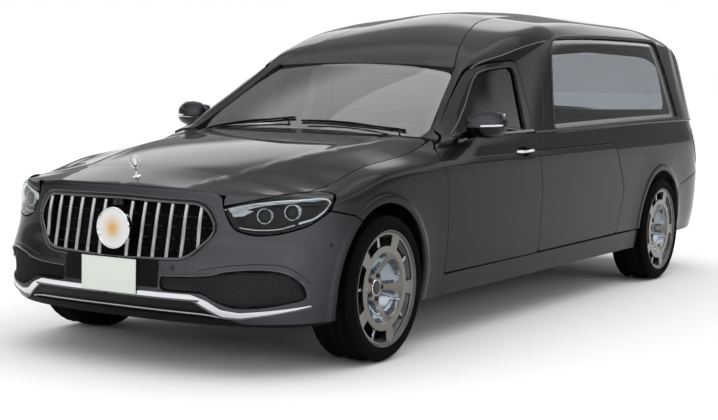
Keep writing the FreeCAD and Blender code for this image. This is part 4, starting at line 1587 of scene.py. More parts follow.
# A pale glossy enamel.
DISC_PORCELAIN = Finish("disc_enamel_pale", "#dcdcda", 0.28, coat=0.7, relief_mm=0.004, spread=0.03)
# Deep red with a glossy skin and soft ripples.
RED_LENS = Finish("red_acrylic_lens_moulded", "#6d0508", 0.12, coat=1.0, grain_mm=6, relief_mm=0.1)
# A brighter red line inside the lens.
RED_GUIDE = Finish("red_acrylic_light_guide", "#b3090e", 0.18, coat=0.6, grain_mm=5, relief_mm=0.02)
# A grey tint, mirror-like at a slant.
REAR_GLASS = Pane("rear_glass_float_tinted", "#c3c7ca", 0.32)
# Nearly clear from the front, with a strong mirror of the sky at a slant.
SCREEN_GLASS = Pane("windscreen_glass_laminated_coated", "#e6eaec", 0.52)
# Clear, with a mirror that grows towards a slant.
WINDOW = Pane("window_glass_float_clear", "#f1f2f3", 0.32)
# A darker tint that hides most of the cabin.
DOOR_WINDOW_GLASS = Pane("door_glass_float_tinted", "#6a7072", 0.18)
# Clear and hard, with a thin mirror over the lamp.
LENS = Pane("lamp_cover_polycarbonate_clear", "#f2f4f5", 0.24)


def dress(made: Object, finish: Finish) -> Object:
    """Gives an object one finish.

    Args:
        made: The object.
        finish: Its finish.

    Returns:
        The same object.
    """
    made.data.materials.clear()
    made.data.materials.append(finish.material())
    return made


# ---------------------------------------------------------------- shared shapes
SIDE = BodySide()
FLANK_GUIDES = flank_guides(SIDE)
BONNET_TOP = BonnetTop()
CANOPY_SIDE = Canopy()
ROOF_TOP = RoofTop()
SCREEN_FACE = ScreenFace()
HATCH_FACE = HatchFace()
SIGNS = (("left", 1), ("right", -1))


def fitted(made: Object, body: Body | str, finish: Finish | None = None,
           slot: str | None = None, stands_for: Sequence[str] = ()) -> Object:
    """Finishes a piece, hangs it on its body and logs it.

    Args:
        made: The piece.
        body: The body it moves with.
        finish: Its finish, if it hasn't one yet.
        slot: The record's material slot; not used.
        stands_for: CAD nodes that it replaces.

    Returns:
        The piece.
    """
    if finish:
        dress(made, finish)
    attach(made, body.value if isinstance(body, Body) else body)
    if stands_for:
        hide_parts(*stands_for)
    LOG.info("%s: %d triangles", made.name, sum(len(p.vertices) - 2 for p in made.data.polygons))
    return made


def both_sides(name: str, left: Object) -> Object:
    """A left-hand panel joined with its mirror image."""
    return joined(name, [left, mirrored(left, name + "_right")])


def pair(name: str, left: Object, finish: Finish, slot: str,
         stands_for: Sequence[str] = ()) -> Object:
    """Fits a left-hand piece and its mirror image to the body as one piece.

    Args:
        name: The piece's name.
        left: The left-hand half.
        finish: The finish of both halves.
        slot: The record's material slot.
        stands_for: CAD nodes that it replaces.

    Returns:
        The piece.
    """
    dress(left, finish)
    return fitted(both_sides(name, left), Body.ROOT, None, slot, stands_for)


def across(line: Points, centre: float) -> Plan:
    """A line in the side's plan coordinates, mirrored to the car's other side."""
    return [(2 * centre - run, z) for run, z in line]


def guides_round(centre: float) -> Array:
    """The flank guides of both sides, for a skin that goes round the nose or the tail."""
    return np.vstack([FLANK_GUIDES, FLANK_GUIDES * [-1, 1] + [2 * centre, 0]])


def symmetric(half: Points) -> Plan:
    """An outline in x closed by its own mirror image."""
    return list(half) + [(-a, b) for a, b in reversed(half) if abs(a) > ON_LINE]


def bar(name: str, surface: Surface, outline: Points, radius: float, lift: float = 0.0,
        closed: bool = True, sides: int = 8, step: float = 0.02, flat: float = 1.0) -> Object:
    """A bar along a line drawn on a surface.

    Args:
        name: The object's name.
        surface: The surface.
        outline: The line, in the surface's plan coordinates.
        radius: Half its width.
        lift: How far it stands off the surface.
        closed: Whether it closes on itself.
        sides: Points round the bar.
        step: The distance between its points.
        flat: Its height against its width.

    Returns:
        The bar.
    """
    plan = dense(outline, step) if closed else np.array(spline(outline))
    path = Raised(surface, lift)(plan)
    return tube(name, path, radius, sides, closed, flat)


def lattice(name: str, surface: Surface, outline: Points, pitch: float, radius: float,
            rise: float = 0.55) -> Object:
    """A diamond mesh of thin bars inside an outline.

    Args:
        name: The object's name.
        surface: The surface that the bars lie on.
        outline: The edge in plan coordinates.
        pitch: Distance between bars.
        radius: Half a bar's thickness.
        rise: The bars' slope.

    Returns:
        The mesh as one object.
    """
    ring = np.array(outline)
    low, high = ring.min(0), ring.max(0)
    span = high - low
    parts = []
    for sign in (1, -1):
        for start in np.arange(-span[1] / rise, span[0] + span[1] / rise, pitch):
            along = np.arange(0, span[1] + ON_LINE, 0.008)
            line = np.stack([low[0] + start + sign * along / rise, low[1] + along], 1)
            held = inside(line, ring)
            run = line[held]
            if len(run) > 2:
                parts.append(tube(name, surface(run), radius, 4))
    return joined(name, parts)


def bucket(name: str, surface: Surface, outline: Points, depth: float, shrink: float = 0.9
           ) -> Object:
    """An open tray behind an outline on a surface.

    Args:
        name: The object's name.
        surface: The surface.
        outline: Its mouth, in plan coordinates.
        depth: How deep it goes.
        shrink: The size of its floor against its mouth.

    Returns:
        The tray.
    """
    ring = dense(outline, 0.02)
    centre = ring.mean(0)
    small = centre + (ring - centre) * shrink
    plan, triangles, loops = triangulated(small, [], 0.03)
    back = Raised(surface, -depth)(plan)
    rim = Raised(surface, -0.004)(ring)
    points = list(rim) + list(back)
    count = len(ring)
    faces = [tuple(count + i for i in t) for t in triangles]
    loop = loops[0]
    for index in range(count):
        follow = (index + 1) % count
        faces.append((index, follow, count + loop[follow], count + loop[index]))
    made = solid(name, points, faces, 40)
    thick = made.modifiers.new("wall", "SOLIDIFY")
    thick.thickness = 0.002
    thick.offset = 0
    with bpy.context.temp_override(object=made, active_object=made):
        bpy.ops.object.modifier_apply(modifier=thick.name)
    return made


def disc(name: str, centre: Sequence, facing: Sequence, profile: Points, steps: int = 40) -> Object:
    """A turned piece at a centre, its axis towards facing.

    Args:
        name: The object's name.
        centre: Its centre.
        facing: The way it faces.
        profile: Distances along and from the axis.
        steps: Points round the axis.

    Returns:
        The piece.
    """
    made = turned(name, profile, "z", steps)
    turn = Vector(facing).normalized().to_track_quat("Z", "Y").to_matrix()
    return moved(made, centre, turn)


def on_surface(surface: Surface, plan: tuple[float, float]) -> tuple[Vector, Vector]:
    """A point on a surface and its outward normal."""
    at = np.array([plan])
    return Vector(surface(at)[0]), Vector(normals(surface, at)[0])


def number_plate(name: str, low: Vector, high: Vector, facing: int) -> Object:
    """A blank pressed plate with a raised rim and four screw heads.

    Args:
        name: The object's name.
        low: The lower corner of its place.
        high: The upper corner of its place.
        facing: 1 or -1, the way along Y that it faces.

    Returns:
        The plate.
    """
    middle = (low + high) / 2
    half = (high - low) / 2
    face = low.y if facing < 0 else high.y
    base = box("plate", (low.x, low.y, low.z), (high.x, high.y, high.z), 0.0015)
    inner = rounded(((-half.x + .004, -half.z + .004), (half.x - .004, -half.z + .004),
                     (half.x - .004, half.z - .004), (-half.x + .004, half.z - .004)), 0.012)
    rim = tube("rim", [(middle.x + a, face - facing * .0002, middle.z + b) for a, b in inner],
               0.0012, 6, True)
    screws = [disc("screw", (middle.x + sx * .09, face, middle.z + sz * .060), (0, facing, 0),
                   ((-.001, 0), (-.001, .006), (.0006, .0055), (.0008, 0)), 16)
              for sx in (1, -1) for sz in (1, -1)]
    return joined(name, [base, rim, *screws])


def parking_sensors(end: str, spots: Plan, height: float) -> None:
    """Round sensors on the bumper.

    Args:
        end: front or rear.
        spots: Where they sit, in the side's plan coordinates.
        height: How far they stand out.
    """
    made = []
    for spot in spots:
        where, facing = on_surface(SIDE, spot)
        made.append(disc("sensor", where, facing, ((0, 0), (0, .010), (.0015, .0095),
                                                   (height, .008), (height, 0)), 20))
    fitted(joined(f"parking_sensors_{end}", made), Body.ROOT, GLOSS_BLACK, "black_trim")


def rounded_half(half: Points, radius: float) -> Plan:
    """A symmetric outline from its x > 0 half, its corners turned into arcs."""
    return rounded(symmetric(half), radius)


def style_lines(start: float, end: float, columns: Sequence[int]) -> list[Object]:
    """The crisp crests of the belt creases between two stations.

    Args:
        start: The first station.
        end: The last station.
        columns: Which creases, by number.

    Returns:
        The lines.
    """
    stations = np.linspace(start, end, max(3, int((end - start) / 0.05)))
    return [bar("line", SIDE, SIDE.on_side([(s, float(SIDE.columns[column](s))) for s in stations]),
                0.0019, -0.0004, False, 6) for column in columns]


GIRTH_SHARE = 1.6  # girth covered by a metre of glass, about


def window_grown(outline: Points, amount: float) -> Plan:
    """An outline in (station, girth) moved outwards by about amount metres.

    Args:
        outline: The outline.
        amount: How far, in metres.

    Returns:
        The grown outline.
    """
    points = np.array(outline)
    centre = points.mean(0)
    reach = np.maximum(np.abs(points - centre).max(0), TOUCHING)
    scale = 1 + np.array([amount, amount * GIRTH_SHARE]) / reach
    return [tuple(p) for p in centre + (points - centre) * scale]


# ---------------------------------------------------------------- front end
@dataclass
class FrontEnd:
    """Bumper, grille, intakes, blade, plate and lamps."""

    bonnet_edge: Points = ((0, .803), (.30, .800), (.485, .794), (.514, .770), (.517, .740))
    lamp_side: Points = ((.520, .731), (.541, .678), (.573, .634), (.652, .612), (.741, .621),
                         (.828, .654), (.867, .704), (.8735, .7175))
    arch_corner: Points = ((-.266, .6868),)
    grille: Points = ((.0, .749), (.44, .742), (.503, .635), (.385, .508), (.0, .492))
    intake: Points = ((.268, .366), (.268, .430), (.40, .435), (.505, .446), (.565, .463),
                      (.659, .474), (.735, .472), (.782, .460), (.815, .432), (.834, .395),
                      (.838, .345), (.76, .322), (.68, .308), (.585, .308), (.52, .336),
                      (.47, .366))
    blade: Points = ((.0, .361), (.42, .361), (.49, .338), (.545, .302), (.62, .290),
                     (.845, .320), (.845, .311), (.62, .262), (.545, .264), (.49, .296),
                     (.43, .333), (.0, .334))
    skirt: Points = ((.62, .236), (.545, .262), (.435, .332), (.0, .332))
    lamp: Points = ((.526, .731), (.548, .680), (.580, .640), (.655, .619), (.739, .628),
                    (.823, .658), (.8655, .707), (.8755, .755), (.8665, .777), (.849, .7885),
                    (.814, .7955), (.778, .796), (.708, .781), (.60, .752))
    bars: int = 6
    bar_pitch: float = 0.070

    def build(self) -> None:
        """Builds every piece of the front end."""
        self.build_bumper()
        self.build_grille()
        self.build_disc()
        self.build_intakes()
        self.build_blade()
        self.build_lower_lip()
        self.build_lamps()
        self.build_plate()

    def front(self, points: Points) -> Plan:
        """Plan coordinates of (x, height)."""
        return SIDE.on_end(points)

    def loop(self, half: Points, radius: float) -> Plan:
        """A symmetric rounded outline in plan coordinates."""
        return self.front(rounded_half(half, radius))

    def build_bumper(self) -> None:
        """The bumper skin with its openings."""
        arch = arc((0, WHEEL_Z), ARCH_RADIUS, 124.6, 195.3, 28)
        left = self.front(self.bonnet_edge)
        left += self.front(rounded(self.lamp_side, 0.03, closed=False))
        left += SIDE.on_side(list(self.arch_corner) + arch + [(-.42, .236), (-.60, .236)])
        left += self.front(self.skirt)
        outline = left + across(left, NOSE_CENTRE)[::-1][1:-1]
        intake = self.front(rounded(self.intake, 0.03))
        holes = [self.loop(self.grille, 0.055), intake, across(intake, NOSE_CENTRE)]
        skin = panel("bumper_skin_front", SIDE, outline, holes, 0.022,
                     guides=guides_round(NOSE_CENTRE))
        fitted(skin, Body.ROOT, PAINT, "paint", ["front_bumper"])
        parking_sensors("front", [self.front([(x * sign, z)])[0] for sign in (1, -1)
                                  for x, z in ((.328, .469), (.711, .432), (.880, .572))], .0025)

    def build_grille(self) -> None:
        """Surround, upright bars, slats behind them and the dark back."""
        outline = self.loop(self.grille, 0.055)
        outer = self.loop([(x * 1.035, .6205 + (z - .6205) * 1.14) for x, z in self.grille], 0.065)
        frame_bars = [bar("frame", SIDE, outline, 0.0060, -0.002),
                      bar("frame", SIDE, outer, 0.0028, 0.001)]
        fitted(joined("grille_surround", frame_bars), Body.ROOT, DARK_CHROME, "chrome", ["grille"])
        band = panel("grille_band", Raised(SIDE, 0.0008), outer, [outline], 0.02, 0.004, 0.0008)
        fitted(band, Body.ROOT, GLOSS_BLACK, "black_trim")
        ring = np.array(rounded_half(self.grille, 0.055))
        uprights = []
        for side in (1, -1):
            for index in range(self.bars):
                x = side * (self.bar_pitch * (index + 1) + 0.006)
                heights = np.linspace(.48, .736, 57)
                line = np.stack([np.full(57, x), heights], 1)
                held = line[inside(line, ring)]
                plan = np.array(self.front(held))
                bow = 0.012 * np.sin(np.pi * (held[:, 1] - held[0, 1]) / np.ptp(held[:, 1]))
                points = Raised(SIDE, -0.012)(plan)
                points[:, 1] -= bow
                uprights.append(tube("upright", points, 0.0125, 12, flat=0.80))
        fitted(joined("grille_bars", uprights), Body.ROOT, SATIN_CHROME, "chrome")
        slats = []
        for z in (.545, .592, .639, .686):
            line = np.stack([np.linspace(-.52, .52, 60), np.full(60, z)], 1)
            held = line[inside(line, ring)]
            plan = np.array(self.front(held))
            slats.append(tube("slat", Raised(SIDE, -0.036)(plan), 0.004, 6))
        fitted(joined("grille_slats", slats), Body.ROOT, GLOSS_BLACK, "black_trim")
        back = bucket("grille_back", SIDE, outline, 0.075, 0.97)
        fitted(back, Body.ROOT, BLACK_PLASTIC, "black_plastic")
        where, _ = on_surface(SIDE, self.front([(0, .732)])[0])
        pod = box("camera_pod", where + Vector((-.028, -.006, -.020)),
                  where + Vector((.028, .03, .014)), 0.006)
        eye = disc("eye", where + Vector((0, -.006, -.004)), (0, -1, 0),
                   ((0, 0), (0, .008), (.003, .007), (.004, 0)), 20)
        fitted(joined("grille_camera", [pod, eye]), Body.ROOT, GLOSS_BLACK, "black_trim")

    def build_disc(self) -> None:
        """The pale disc with its bright rim and a plain golden sunburst."""
        centre = box_centre("grille_disc")
        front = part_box("grille_disc")[0].y + 0.020
        face = disc("grille_disc_face", (0, front, centre.z), (0, -1, 0),
                    ((-.022, 0), (-.022, .086), (-.004, .086), (-.0015, .06), (0, 0)), 72)
        fitted(face, Body.ROOT, DISC_PORCELAIN, "badge", ["grille_disc"])
        rim = disc("grille_disc_rim", (0, front, centre.z), (0, -1, 0),
                   ((-.022, .085), (-.022, .0925), (-.004, .0925), (0, .090), (0, .0875),
                    (-.004, .085)), 72)
        fitted(rim, Body.ROOT, CHROME, "chrome")
        # A warm yellow metal with a fine stipple that breaks up its shine.
        gold = Finish("gold_leaf_stippled", "#dba936", 0.35, 0.6, grain_mm=1.0, relief_mm=0.02)
        dots = []
        for ring, (radius, count, size) in enumerate(
                ((.0, 1, .0075), (.013, 10, .0042), (.022, 16, .0036), (.031, 20, .0030),
                 (.040, 26, .0022), (.049, 28, .0015), (.058, 30, .0011))):
            for index in range(count):
                angle = 2 * math.pi * (index + 0.5 * (ring % 2)) / count
                where = (radius * math.cos(angle), front - .0004,
                         centre.z + radius * math.sin(angle))
                dots.append(disc("dot", where, (0, -1, 0),
                                 ((-.003, 0), (-.003, size), (.0, size), (.0008, size * .7),
                                  (.0010, 0)), 10))
        fitted(joined("grille_disc_sunburst", dots), Body.ROOT, gold, "badge")

    def build_intakes(self) -> None:
        """Diamond mesh, its frame and the dark duct behind, on both sides."""
        outline = self.front(rounded(self.intake, 0.03))
        mesh = lattice("mesh", Raised(SIDE, -0.016), outline, 0.0165, 0.0017)
        pair("intake_mesh", mesh, MESH_BLACK, "black_plastic", ["intake_grilles"])
        duct = bucket("duct", SIDE, outline, 0.060, 0.96)
        pair("intake_duct", duct, BLACK_PLASTIC, "black_plastic")
        brow = [(.268, .432), (.40, .437), (.505, .448), (.565, .465), (.659, .4765), (.735, .4745),
                (.783, .462), (.817, .433), (.836, .396), (.841, .350)]
        edge = bar("brow", SIDE, self.front(spline(brow, 4)), 0.0045, 0.0, False, 8, flat=0.8)
        pair("intake_brow", edge, DARK_CHROME, "chrome")
        fold = [(.45, .464), (.548, .484), (.63, .495), (.714, .498), (.779, .488), (.822, .453),
                (.846, .415)]
        groove = bar("fold", SIDE, self.front(spline(fold, 4)), 0.0024, -0.0012, False, 6)
        pair("intake_fold", groove, GLOSS_BLACK, "black_trim")

    def build_blade(self) -> None:
        """The chrome blade across the bumper, with a darker chrome bar along its lower edge as
        painted shade.
        """
        outline = self.loop(self.blade, 0.012)
        blade = panel("bumper_blade_chrome", Raised(SIDE, 0.0045), outline, (), 0.012, 0.02, 0.006)
        fitted(blade, Body.ROOT, CHROME, "chrome", ["bumper_blade"])
        # A dark chrome bar along the blade's lower edge: painted shade on the blade's lower half.
        lower = [(.845, .313), (.62, .264), (.545, .267), (.49, .299), (.43, .335), (.0, .336)]
        under = bar("under", SIDE, self.front(rounded(lower, .01, closed=False)), 0.0045, 0.004,
                    False)
        pair("bumper_blade_painted_shade_edges", under, DARK_CHROME, "chrome")

    def build_lower_lip(self) -> None:
        """The recessed band, the thin bright line under it and the black lip."""
        band = [(0, .338), (.44, .338), (.55, .270), (.63, .240), (.63, .222), (0, .222)]
        insert = panel("bumper_insert", Raised(SIDE, -0.014), self.loop(band, 0.01), (), 0.03)
        fitted(insert, Body.ROOT, BOWL_BLACK, "black_trim")
        line = [(-.53, .262), (-.45, .272), (-.2, .276), (.2, .276), (.45, .272), (.53, .262)]
        chin = bar("chin_line", SIDE, self.front(spline(line, 5)), 0.0042, -0.006, False, 8)
        fitted(chin, Body.ROOT, SATIN_CHROME, "chrome")
        ring = SIDE.on_side([(-.395, .222)])
        ring += self.front([(.80, .218), (.60, .216), (.30, .216), (0, .216), (0, .256),
                            (.30, .256), (.56, .250), (.66, .240), (.80, .240)])
        ring += SIDE.on_side([(-.395, .246)])
        lip = panel("lip", Raised(SIDE, -0.008), ring, (), 0.03)
        pair("bumper_lip", lip, BLACK_PLASTIC, "black_plastic")

    def build_lamps(self) -> None:
        """Clear covers over dark bowls with light guides and projector lenses."""
        outline = self.front(rounded(self.lamp, 0.03))
        cover = panel("cover", Raised(SIDE, 0.001), outline, (), 0.014, 0.003, 0.0015)
        pair("headlamp_covers", cover, LENS, "lamp_glass", ["headlamps"])
        bowl = bucket("bowl", SIDE, outline, 0.070, 0.86)
        pair("headlamp_bowls", bowl, BOWL_BLACK, "black_trim")
        brow = [(.525, .722), (.60, .742), (.70, .764), (.82, .785), (.866, .770), (.872, .735),
                (.845, .690), (.80, .668)]
        guide = bar("guide", SIDE, self.front(spline(brow, 4)), 0.0065, -0.016, False, 8, flat=0.6)
        pair("headlamp_guides", guide, WHITE_GUIDE, "lamp_glass")
        under = [(.56, .652), (.64, .640), (.73, .642), (.79, .660)]
        trims = [bar("trim", SIDE, self.front(spline(under, 4)), 0.004, -0.026, False, 6)]
        wedge = self.front(rounded([(.527, .714), (.60, .728), (.645, .722), (.60, .696),
                                    (.545, .690)], 0.01))
        trims.append(panel("wedge", Raised(SIDE, -0.030), wedge, (), 0.02, 0.004))
        brow = self.front(rounded([(.530, .724), (.60, .7455), (.70, .769), (.80, .7865),
                                   (.838, .784), (.75, .762), (.65, .735), (.55, .708)], 0.008))
        trims.append(panel("lid", Raised(SIDE, -0.020), brow, (), 0.02, 0.004))
        lenses = []
        for x, z in ((.690, .700), (.790, .716)):
            where, _ = on_surface(Raised(SIDE, -0.052), self.front([(x, z)])[0])
            facing = Vector((0.25, -1, 0))
            trims.append(disc("bezel", where, facing, ((0, .029), (0, .040), (.020, .038),
                                                       (.026, .034), (.024, .030)), 36))
            lenses.append(disc("lens", where, facing, ((0, 0), (0, .030), (.012, .030),
                                                       (.024, .022), (.030, .011), (.032, 0)), 36))
        pair("headlamp_trims", joined("trims", trims), SILVER_TRIM, "chrome")
        pair("headlamp_lenses", joined("lenses", lenses), GLOSS_BLACK, "black_trim")

    def build_plate(self) -> None:
        """The black holder and the blank plate."""
        low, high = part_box("front_plate")
        holder = self.loop(((0, .496), (.258, .496), (.258, .378), (0, .378)), 0.008)
        mount = panel("plate_holder_front", Raised(SIDE, 0.004), holder, (), 0.03, 0.02)
        fitted(mount, Body.ROOT, BLACK_PLASTIC, "black_plastic")
        plate = number_plate("number_plate_front", low, high, -1)
        fitted(plate, Body.ROOT, PLATE_WHITE, "plate", ["front_plate"])


# ---------------------------------------------------------------- upper front
@dataclass
class BonnetLid:
    """The bonnet, its front corners and the ornament."""

    outline: Points = ((0, -.785), (.30, -.774), (.45, -.745), (.535, -.708), (.64, -.665),
                       (.715, -.600), (.755, -.520), (.766, -.430), (.766, .560), (.760, .625),
                       (.725, .655), (.60, .644), (.30, .630), (0, .626))
    fold_low: Points = ((.524, .741), (.56, .7485), (.62, .763), (.68, .779), (.725, .7905),
                        (.752, .7965))
    ornament_station: float = -0.669

    def build(self) -> None:
        """Builds the lid and what stands on it."""
        skin = panel("skin", BONNET_TOP, rounded_half(self.outline, 0.02), (), 0.030)
        lid = joined("bonnet_skin", [skin, both_sides("corners", self.corner())])
        fitted(lid, Body.BONNET, PAINT, "paint", ["bonnet"])
        self.build_ornament()
        self.build_underside()

    def corner(self) -> Object:
        """The fold that runs from the lid's front edge down to the lamp.

        Returns:
            The left-hand fold.
        """
        low = SIDE(np.array(SIDE.on_end(spline(self.fold_low, 5))))
        edge = np.array(rounded(self.outline[2:8], 0.02, closed=False))
        reach = np.concatenate([[0], np.cumsum(np.hypot(*np.diff(edge, axis=0).T))])
        share = np.linspace(0.22, 0.96, len(low)) * reach[-1]
        plan = np.stack([np.interp(share, reach, edge[:, 0]), np.interp(share, reach, edge[:, 1])],
                        1)
        high = BONNET_TOP(plan)
        bend = low.copy()
        bend[:, 2] = high[:, 2] - 0.001
        rows = [low * (1 - u) ** 2 + bend * 2 * u * (1 - u) + high * u * u
                for u in np.linspace(0, 1, 9)]
        rows += [rows[-1] - [0, 0, .004], rows[0] + [0, .008, .004]]
        size, count = len(rows), len(low)
        faces = [(r * count + c, r * count + c + 1, (r + 1) % size * count + c + 1,
                  (r + 1) % size * count + c) for r in range(size) for c in range(count - 1)]
        faces.append(tuple(r * count for r in range(size)))
        faces.append(tuple(r * count + count - 1 for r in range(size))[::-1])
        return outward(solid("corner", np.vstack(rows), faces, 40))

    def build_ornament(self) -> None:
        """A plain finial: an oval base, a stem and a slim leaf."""
        where, facing = on_surface(BONNET_TOP, (0, self.ornament_station))
        base = disc("base", (0, 0, 0), (0, 0, 1), ((-.004, 0), (-.004, .026), (.002, .026),
                                                   (.006, .018), (.009, .008), (.009, 0)), 40)
        moved(base, turn=Matrix.Diagonal((0.62, 1.0, 1.0)))
        stem = disc("stem", (0, 0, 0), (0, 0, 1), ((.008, 0), (.008, .0065), (.020, .0036),
                                                   (.034, .0030), (.040, .0045), (.040, 0)), 24)
        leaf = turned("leaf", ((.036, .0), (.044, .0060), (.060, .0105), (.078, .0090),
                               (.092, .0040), (.099, .0)), "z", 36)
        moved(leaf, turn=Matrix.Diagonal((1.0, 0.30, 1.0)))
        ring = tube("ring", [(a, 0, .068 + b) for a, b in circle(48, .030)], 0.0022, 8, True)
        finial = joined("bonnet_ornament", [base, stem, leaf, ring])
        moved(finial, where, facing.to_track_quat("Z", "Y").to_matrix())
        fitted(finial, Body.BONNET, CHROME, "chrome")

    def build_underside(self) -> None:
        """The padded liner under the lid."""
        outline = ((0, -.70), (.42, -.66), (.66, -.50), (.70, .50), (.60, .58), (0, .57))
        liner = panel("bonnet_liner", Raised(BONNET_TOP, -0.017), rounded_half(outline, 0.05), (),
                      0.05, 0.012)
        fitted(liner, Body.BONNET, SOFT_BLACK, "soft_black")


@dataclass
class Screen:
    """Windscreen, its black border, the cowl and the wipers."""

    glass: Points = ((0, .652), (.40, .678), (.66, .724), (.704, .748), (.575, 1.255),
                     (.30, 1.290), (0, 1.298))

    def build(self) -> None:
        """Builds the screen and what lies at its foot."""
        pane = panel("windscreen_glass", Raised(SCREEN_FACE, -0.002),
                     rounded_half(self.glass, 0.05), (), 0.035, 0.005, 0.001)
        fitted(pane, Body.ROOT, SCREEN_GLASS, "glass", ["windscreen"])
        inner = [(x * 0.945, .70 + (s - .70) * .955) for x, s in self.glass]
        frit = panel("windscreen_border", Raised(SCREEN_FACE, -0.0085),
                     rounded_half(self.glass, 0.05), [rounded_half(inner, 0.06)], 0.03, 0.001,
                     0.0003)
        fitted(frit, Body.ROOT, GLOSS_BLACK, "black_trim")
        self.build_cowl()
        self.build_wipers()
        mirror = box("mirror", (-.125, FRONT_AXLE + 1.285, 1.262),
                     (.125, FRONT_AXLE + 1.315, 1.330), 0.012, 4)
        stalk = tube("stalk", [(0, FRONT_AXLE + 1.290, 1.300), (0, FRONT_AXLE + 1.262, 1.335),
                               (0, FRONT_AXLE + 1.235, 1.338)], 0.009, 10)
        fitted(joined("rear_view_mirror", [mirror, stalk]), Body.ROOT, SOFT_BLACK, "soft_black")

    def build_cowl(self) -> None:
        """The ribbed black scuttle between bonnet and screen."""
        cowl = Raised(BONNET_TOP, -0.030)
        outline = ((0, .628), (.30, .632), (.60, .646), (.735, .662), (.735, .744), (.60, .728),
                   (.40, .702), (0, .690))
        base = panel("base", cowl, rounded_half(outline, 0.01), (), 0.03, 0.02)
        ribs = []
        for x in np.arange(-.56, .57, .028):
            line = [(x, .642 + .05 * x * x), (x, .690 + .05 * x * x)]
            ribs.append(bar("rib", cowl, line, 0.0035, 0.002, False, 6))
        fitted(joined("scuttle", [base, *ribs]), Body.ROOT, BLACK_PLASTIC, "black_plastic")

    def build_wipers(self) -> None:
        """Two arms with blades parked on the screen's foot."""
        parts = []
        for x, reach in ((.34, -.60), (-.33, -.50)):
            pivot, _ = on_surface(Raised(BONNET_TOP, -0.020), (x + .25, .668))
            line = [(x + .22, .715), (x - .05, .705 + .012), (x + reach * .55, .705)]
            arm_points = [pivot] + [Vector(p) for p in Raised(SCREEN_FACE, 0.016)(
                np.array(spline(line)))]
            parts.append(tube("arm", arm_points, 0.005, 8, flat=0.6))
            blade = [(x + .24, .742), (x - .02, .722), (x + reach * .62, .716)]
            parts.append(bar("blade", SCREEN_FACE, blade, 0.0055, 0.005, False, 8))
            parts.append(disc("cap", pivot, (0, -.3, 1), ((-.02, 0), (-.02, .014), (.006, .013),
                                                          (.010, .006), (.010, 0)), 24))
        fitted(joined("wipers", parts), Body.ROOT, BLACK_PLASTIC, "black_plastic")


# ---------------------------------------------------------------- flanks
@dataclass
class Flanks:
    """Wings, sills, fixed side panels and quarters."""

    wing_rear: Points = ((.601, .236), (.603, .346), (.609, .60), (.604, .786), (.570, .885),
                         (.586, .950), (.641, .9805))
    wing_lamp: Points = ((.792, .8012), (.817, .7998), (.852, .7905), (.869, .779), (.878, .756),
                         (.8755, .7225))
    wing_front: Points = ((-.262, .692),)
    sill: Points = ((.607, .237), (.607, .341), (3.258, .362), (3.262, .247))
    mid: Points = ((1.717, .359), (1.724, .424), (1.730, .729), (1.709, .900), (1.705, .921),
                   (2.842, .931), (2.858, .915), (2.981, .636), (2.893, .371))
    upper: Points = ((1.703, .927), (2.850, .937), (2.868, .918), (2.991, .636), (2.898, .371),
                     (3.289, .371))
    bumper_line: Points = ((4.071, .371), (4.071, .616), (4.535, .695), (4.560, .745),
                           (4.402, .900), (4.432, .990))

    def build(self) -> None:
        """Builds the flank panels of both sides."""
        self.build_wings()
        sill = panel("sill", SIDE, SIDE.on_side(self.sill), (), 0.03, guides=FLANK_GUIDES)
        pair("sill_panels", sill, PAINT, "paint", ["sills"])
        backing = joined("backing", [
            panel("backing", Raised(SIDE, -0.027), SIDE.on_side(outline), (), 0.05, 0.004)
            for outline in (((.60, .30), (.60, .356), (1.70, .362), (1.70, .30)),
                            ((1.712, .30), (1.712, .42), (3.27, .42), (3.27, .30)))])
        pair("rocker_seals", backing, RUBBER_SEAL, "black_trim")
        bead = bar("bead", CANOPY_SIDE, [(s, 0.0) for s in np.linspace(1.715, 4.60, 24)], 0.0055,
                   -0.001, False, 8)
        pair("belt_beads", bead, PAINT, "paint")
        mid = panel("mid", SIDE, SIDE.on_side(rounded(self.mid, 0.03)), (), 0.03,
                    guides=FLANK_GUIDES)
        mid = joined("mid", [mid, *style_lines(1.716, 2.84, (6,))])
        pair("side_panel_skins", mid, PAINT, "paint", ["side_panels"])
        self.build_quarters()

    def build_wings(self) -> None:
        """Front wings."""
        arch = arc((0, WHEEL_Z), ARCH_RADIUS, 123.8, -15.4, 44)
        top = along_width(SIDE, np.linspace(.655, -.440, 22), 0.7715)
        outline = (SIDE.on_side(rounded(self.wing_rear, 0.04, closed=False)) + top
                   + SIDE.on_end(self.wing_lamp))
        outline += SIDE.on_side(list(self.wing_front) + arch)
        wing = panel("wing", SIDE, outline, (), 0.026, guides=FLANK_GUIDES)
        wing = joined("wing", [wing, *style_lines(.24, .563, (6, 8))])
        pair("wing_skins", wing, PAINT, "paint", ["wings"])

    def build_quarters(self) -> None:
        """Rear quarters up to the belt, with the fuel flap on the right."""
        arch = arc((WHEELBASE, WHEEL_Z), ARCH_RADIUS, 175.4, 4.6, 44)
        back = SIDE.on_end([(.627, .992), (.627, 1.050)], True)
        belt = SIDE.on_side([(s, float(BodySide.columns[12](s)) - .004)
                             for s in np.linspace(4.40, 1.703, 24)])
        outline = SIDE.on_side(self.upper) + SIDE.on_side(arch)
        outline += SIDE.on_side(self.bumper_line) + back + belt
        quarter = panel("quarter", SIDE, outline, (), 0.03, guides=FLANK_GUIDES)
        pair("quarter_skins", quarter, PAINT, "paint", ["quarters"])
        flap = SIDE.on_side(rounded(((3.52, .78), (3.66, .78), (3.66, .90), (3.52, .90)), 0.03))
        seam = bar("flap_seam", SIDE, flap, 0.0016, 0.0, True, 6)
        fitted(moved(seam, turn=Matrix.Diagonal((-1, 1, 1))), Body.ROOT, RUBBER_SEAL, "black_trim")


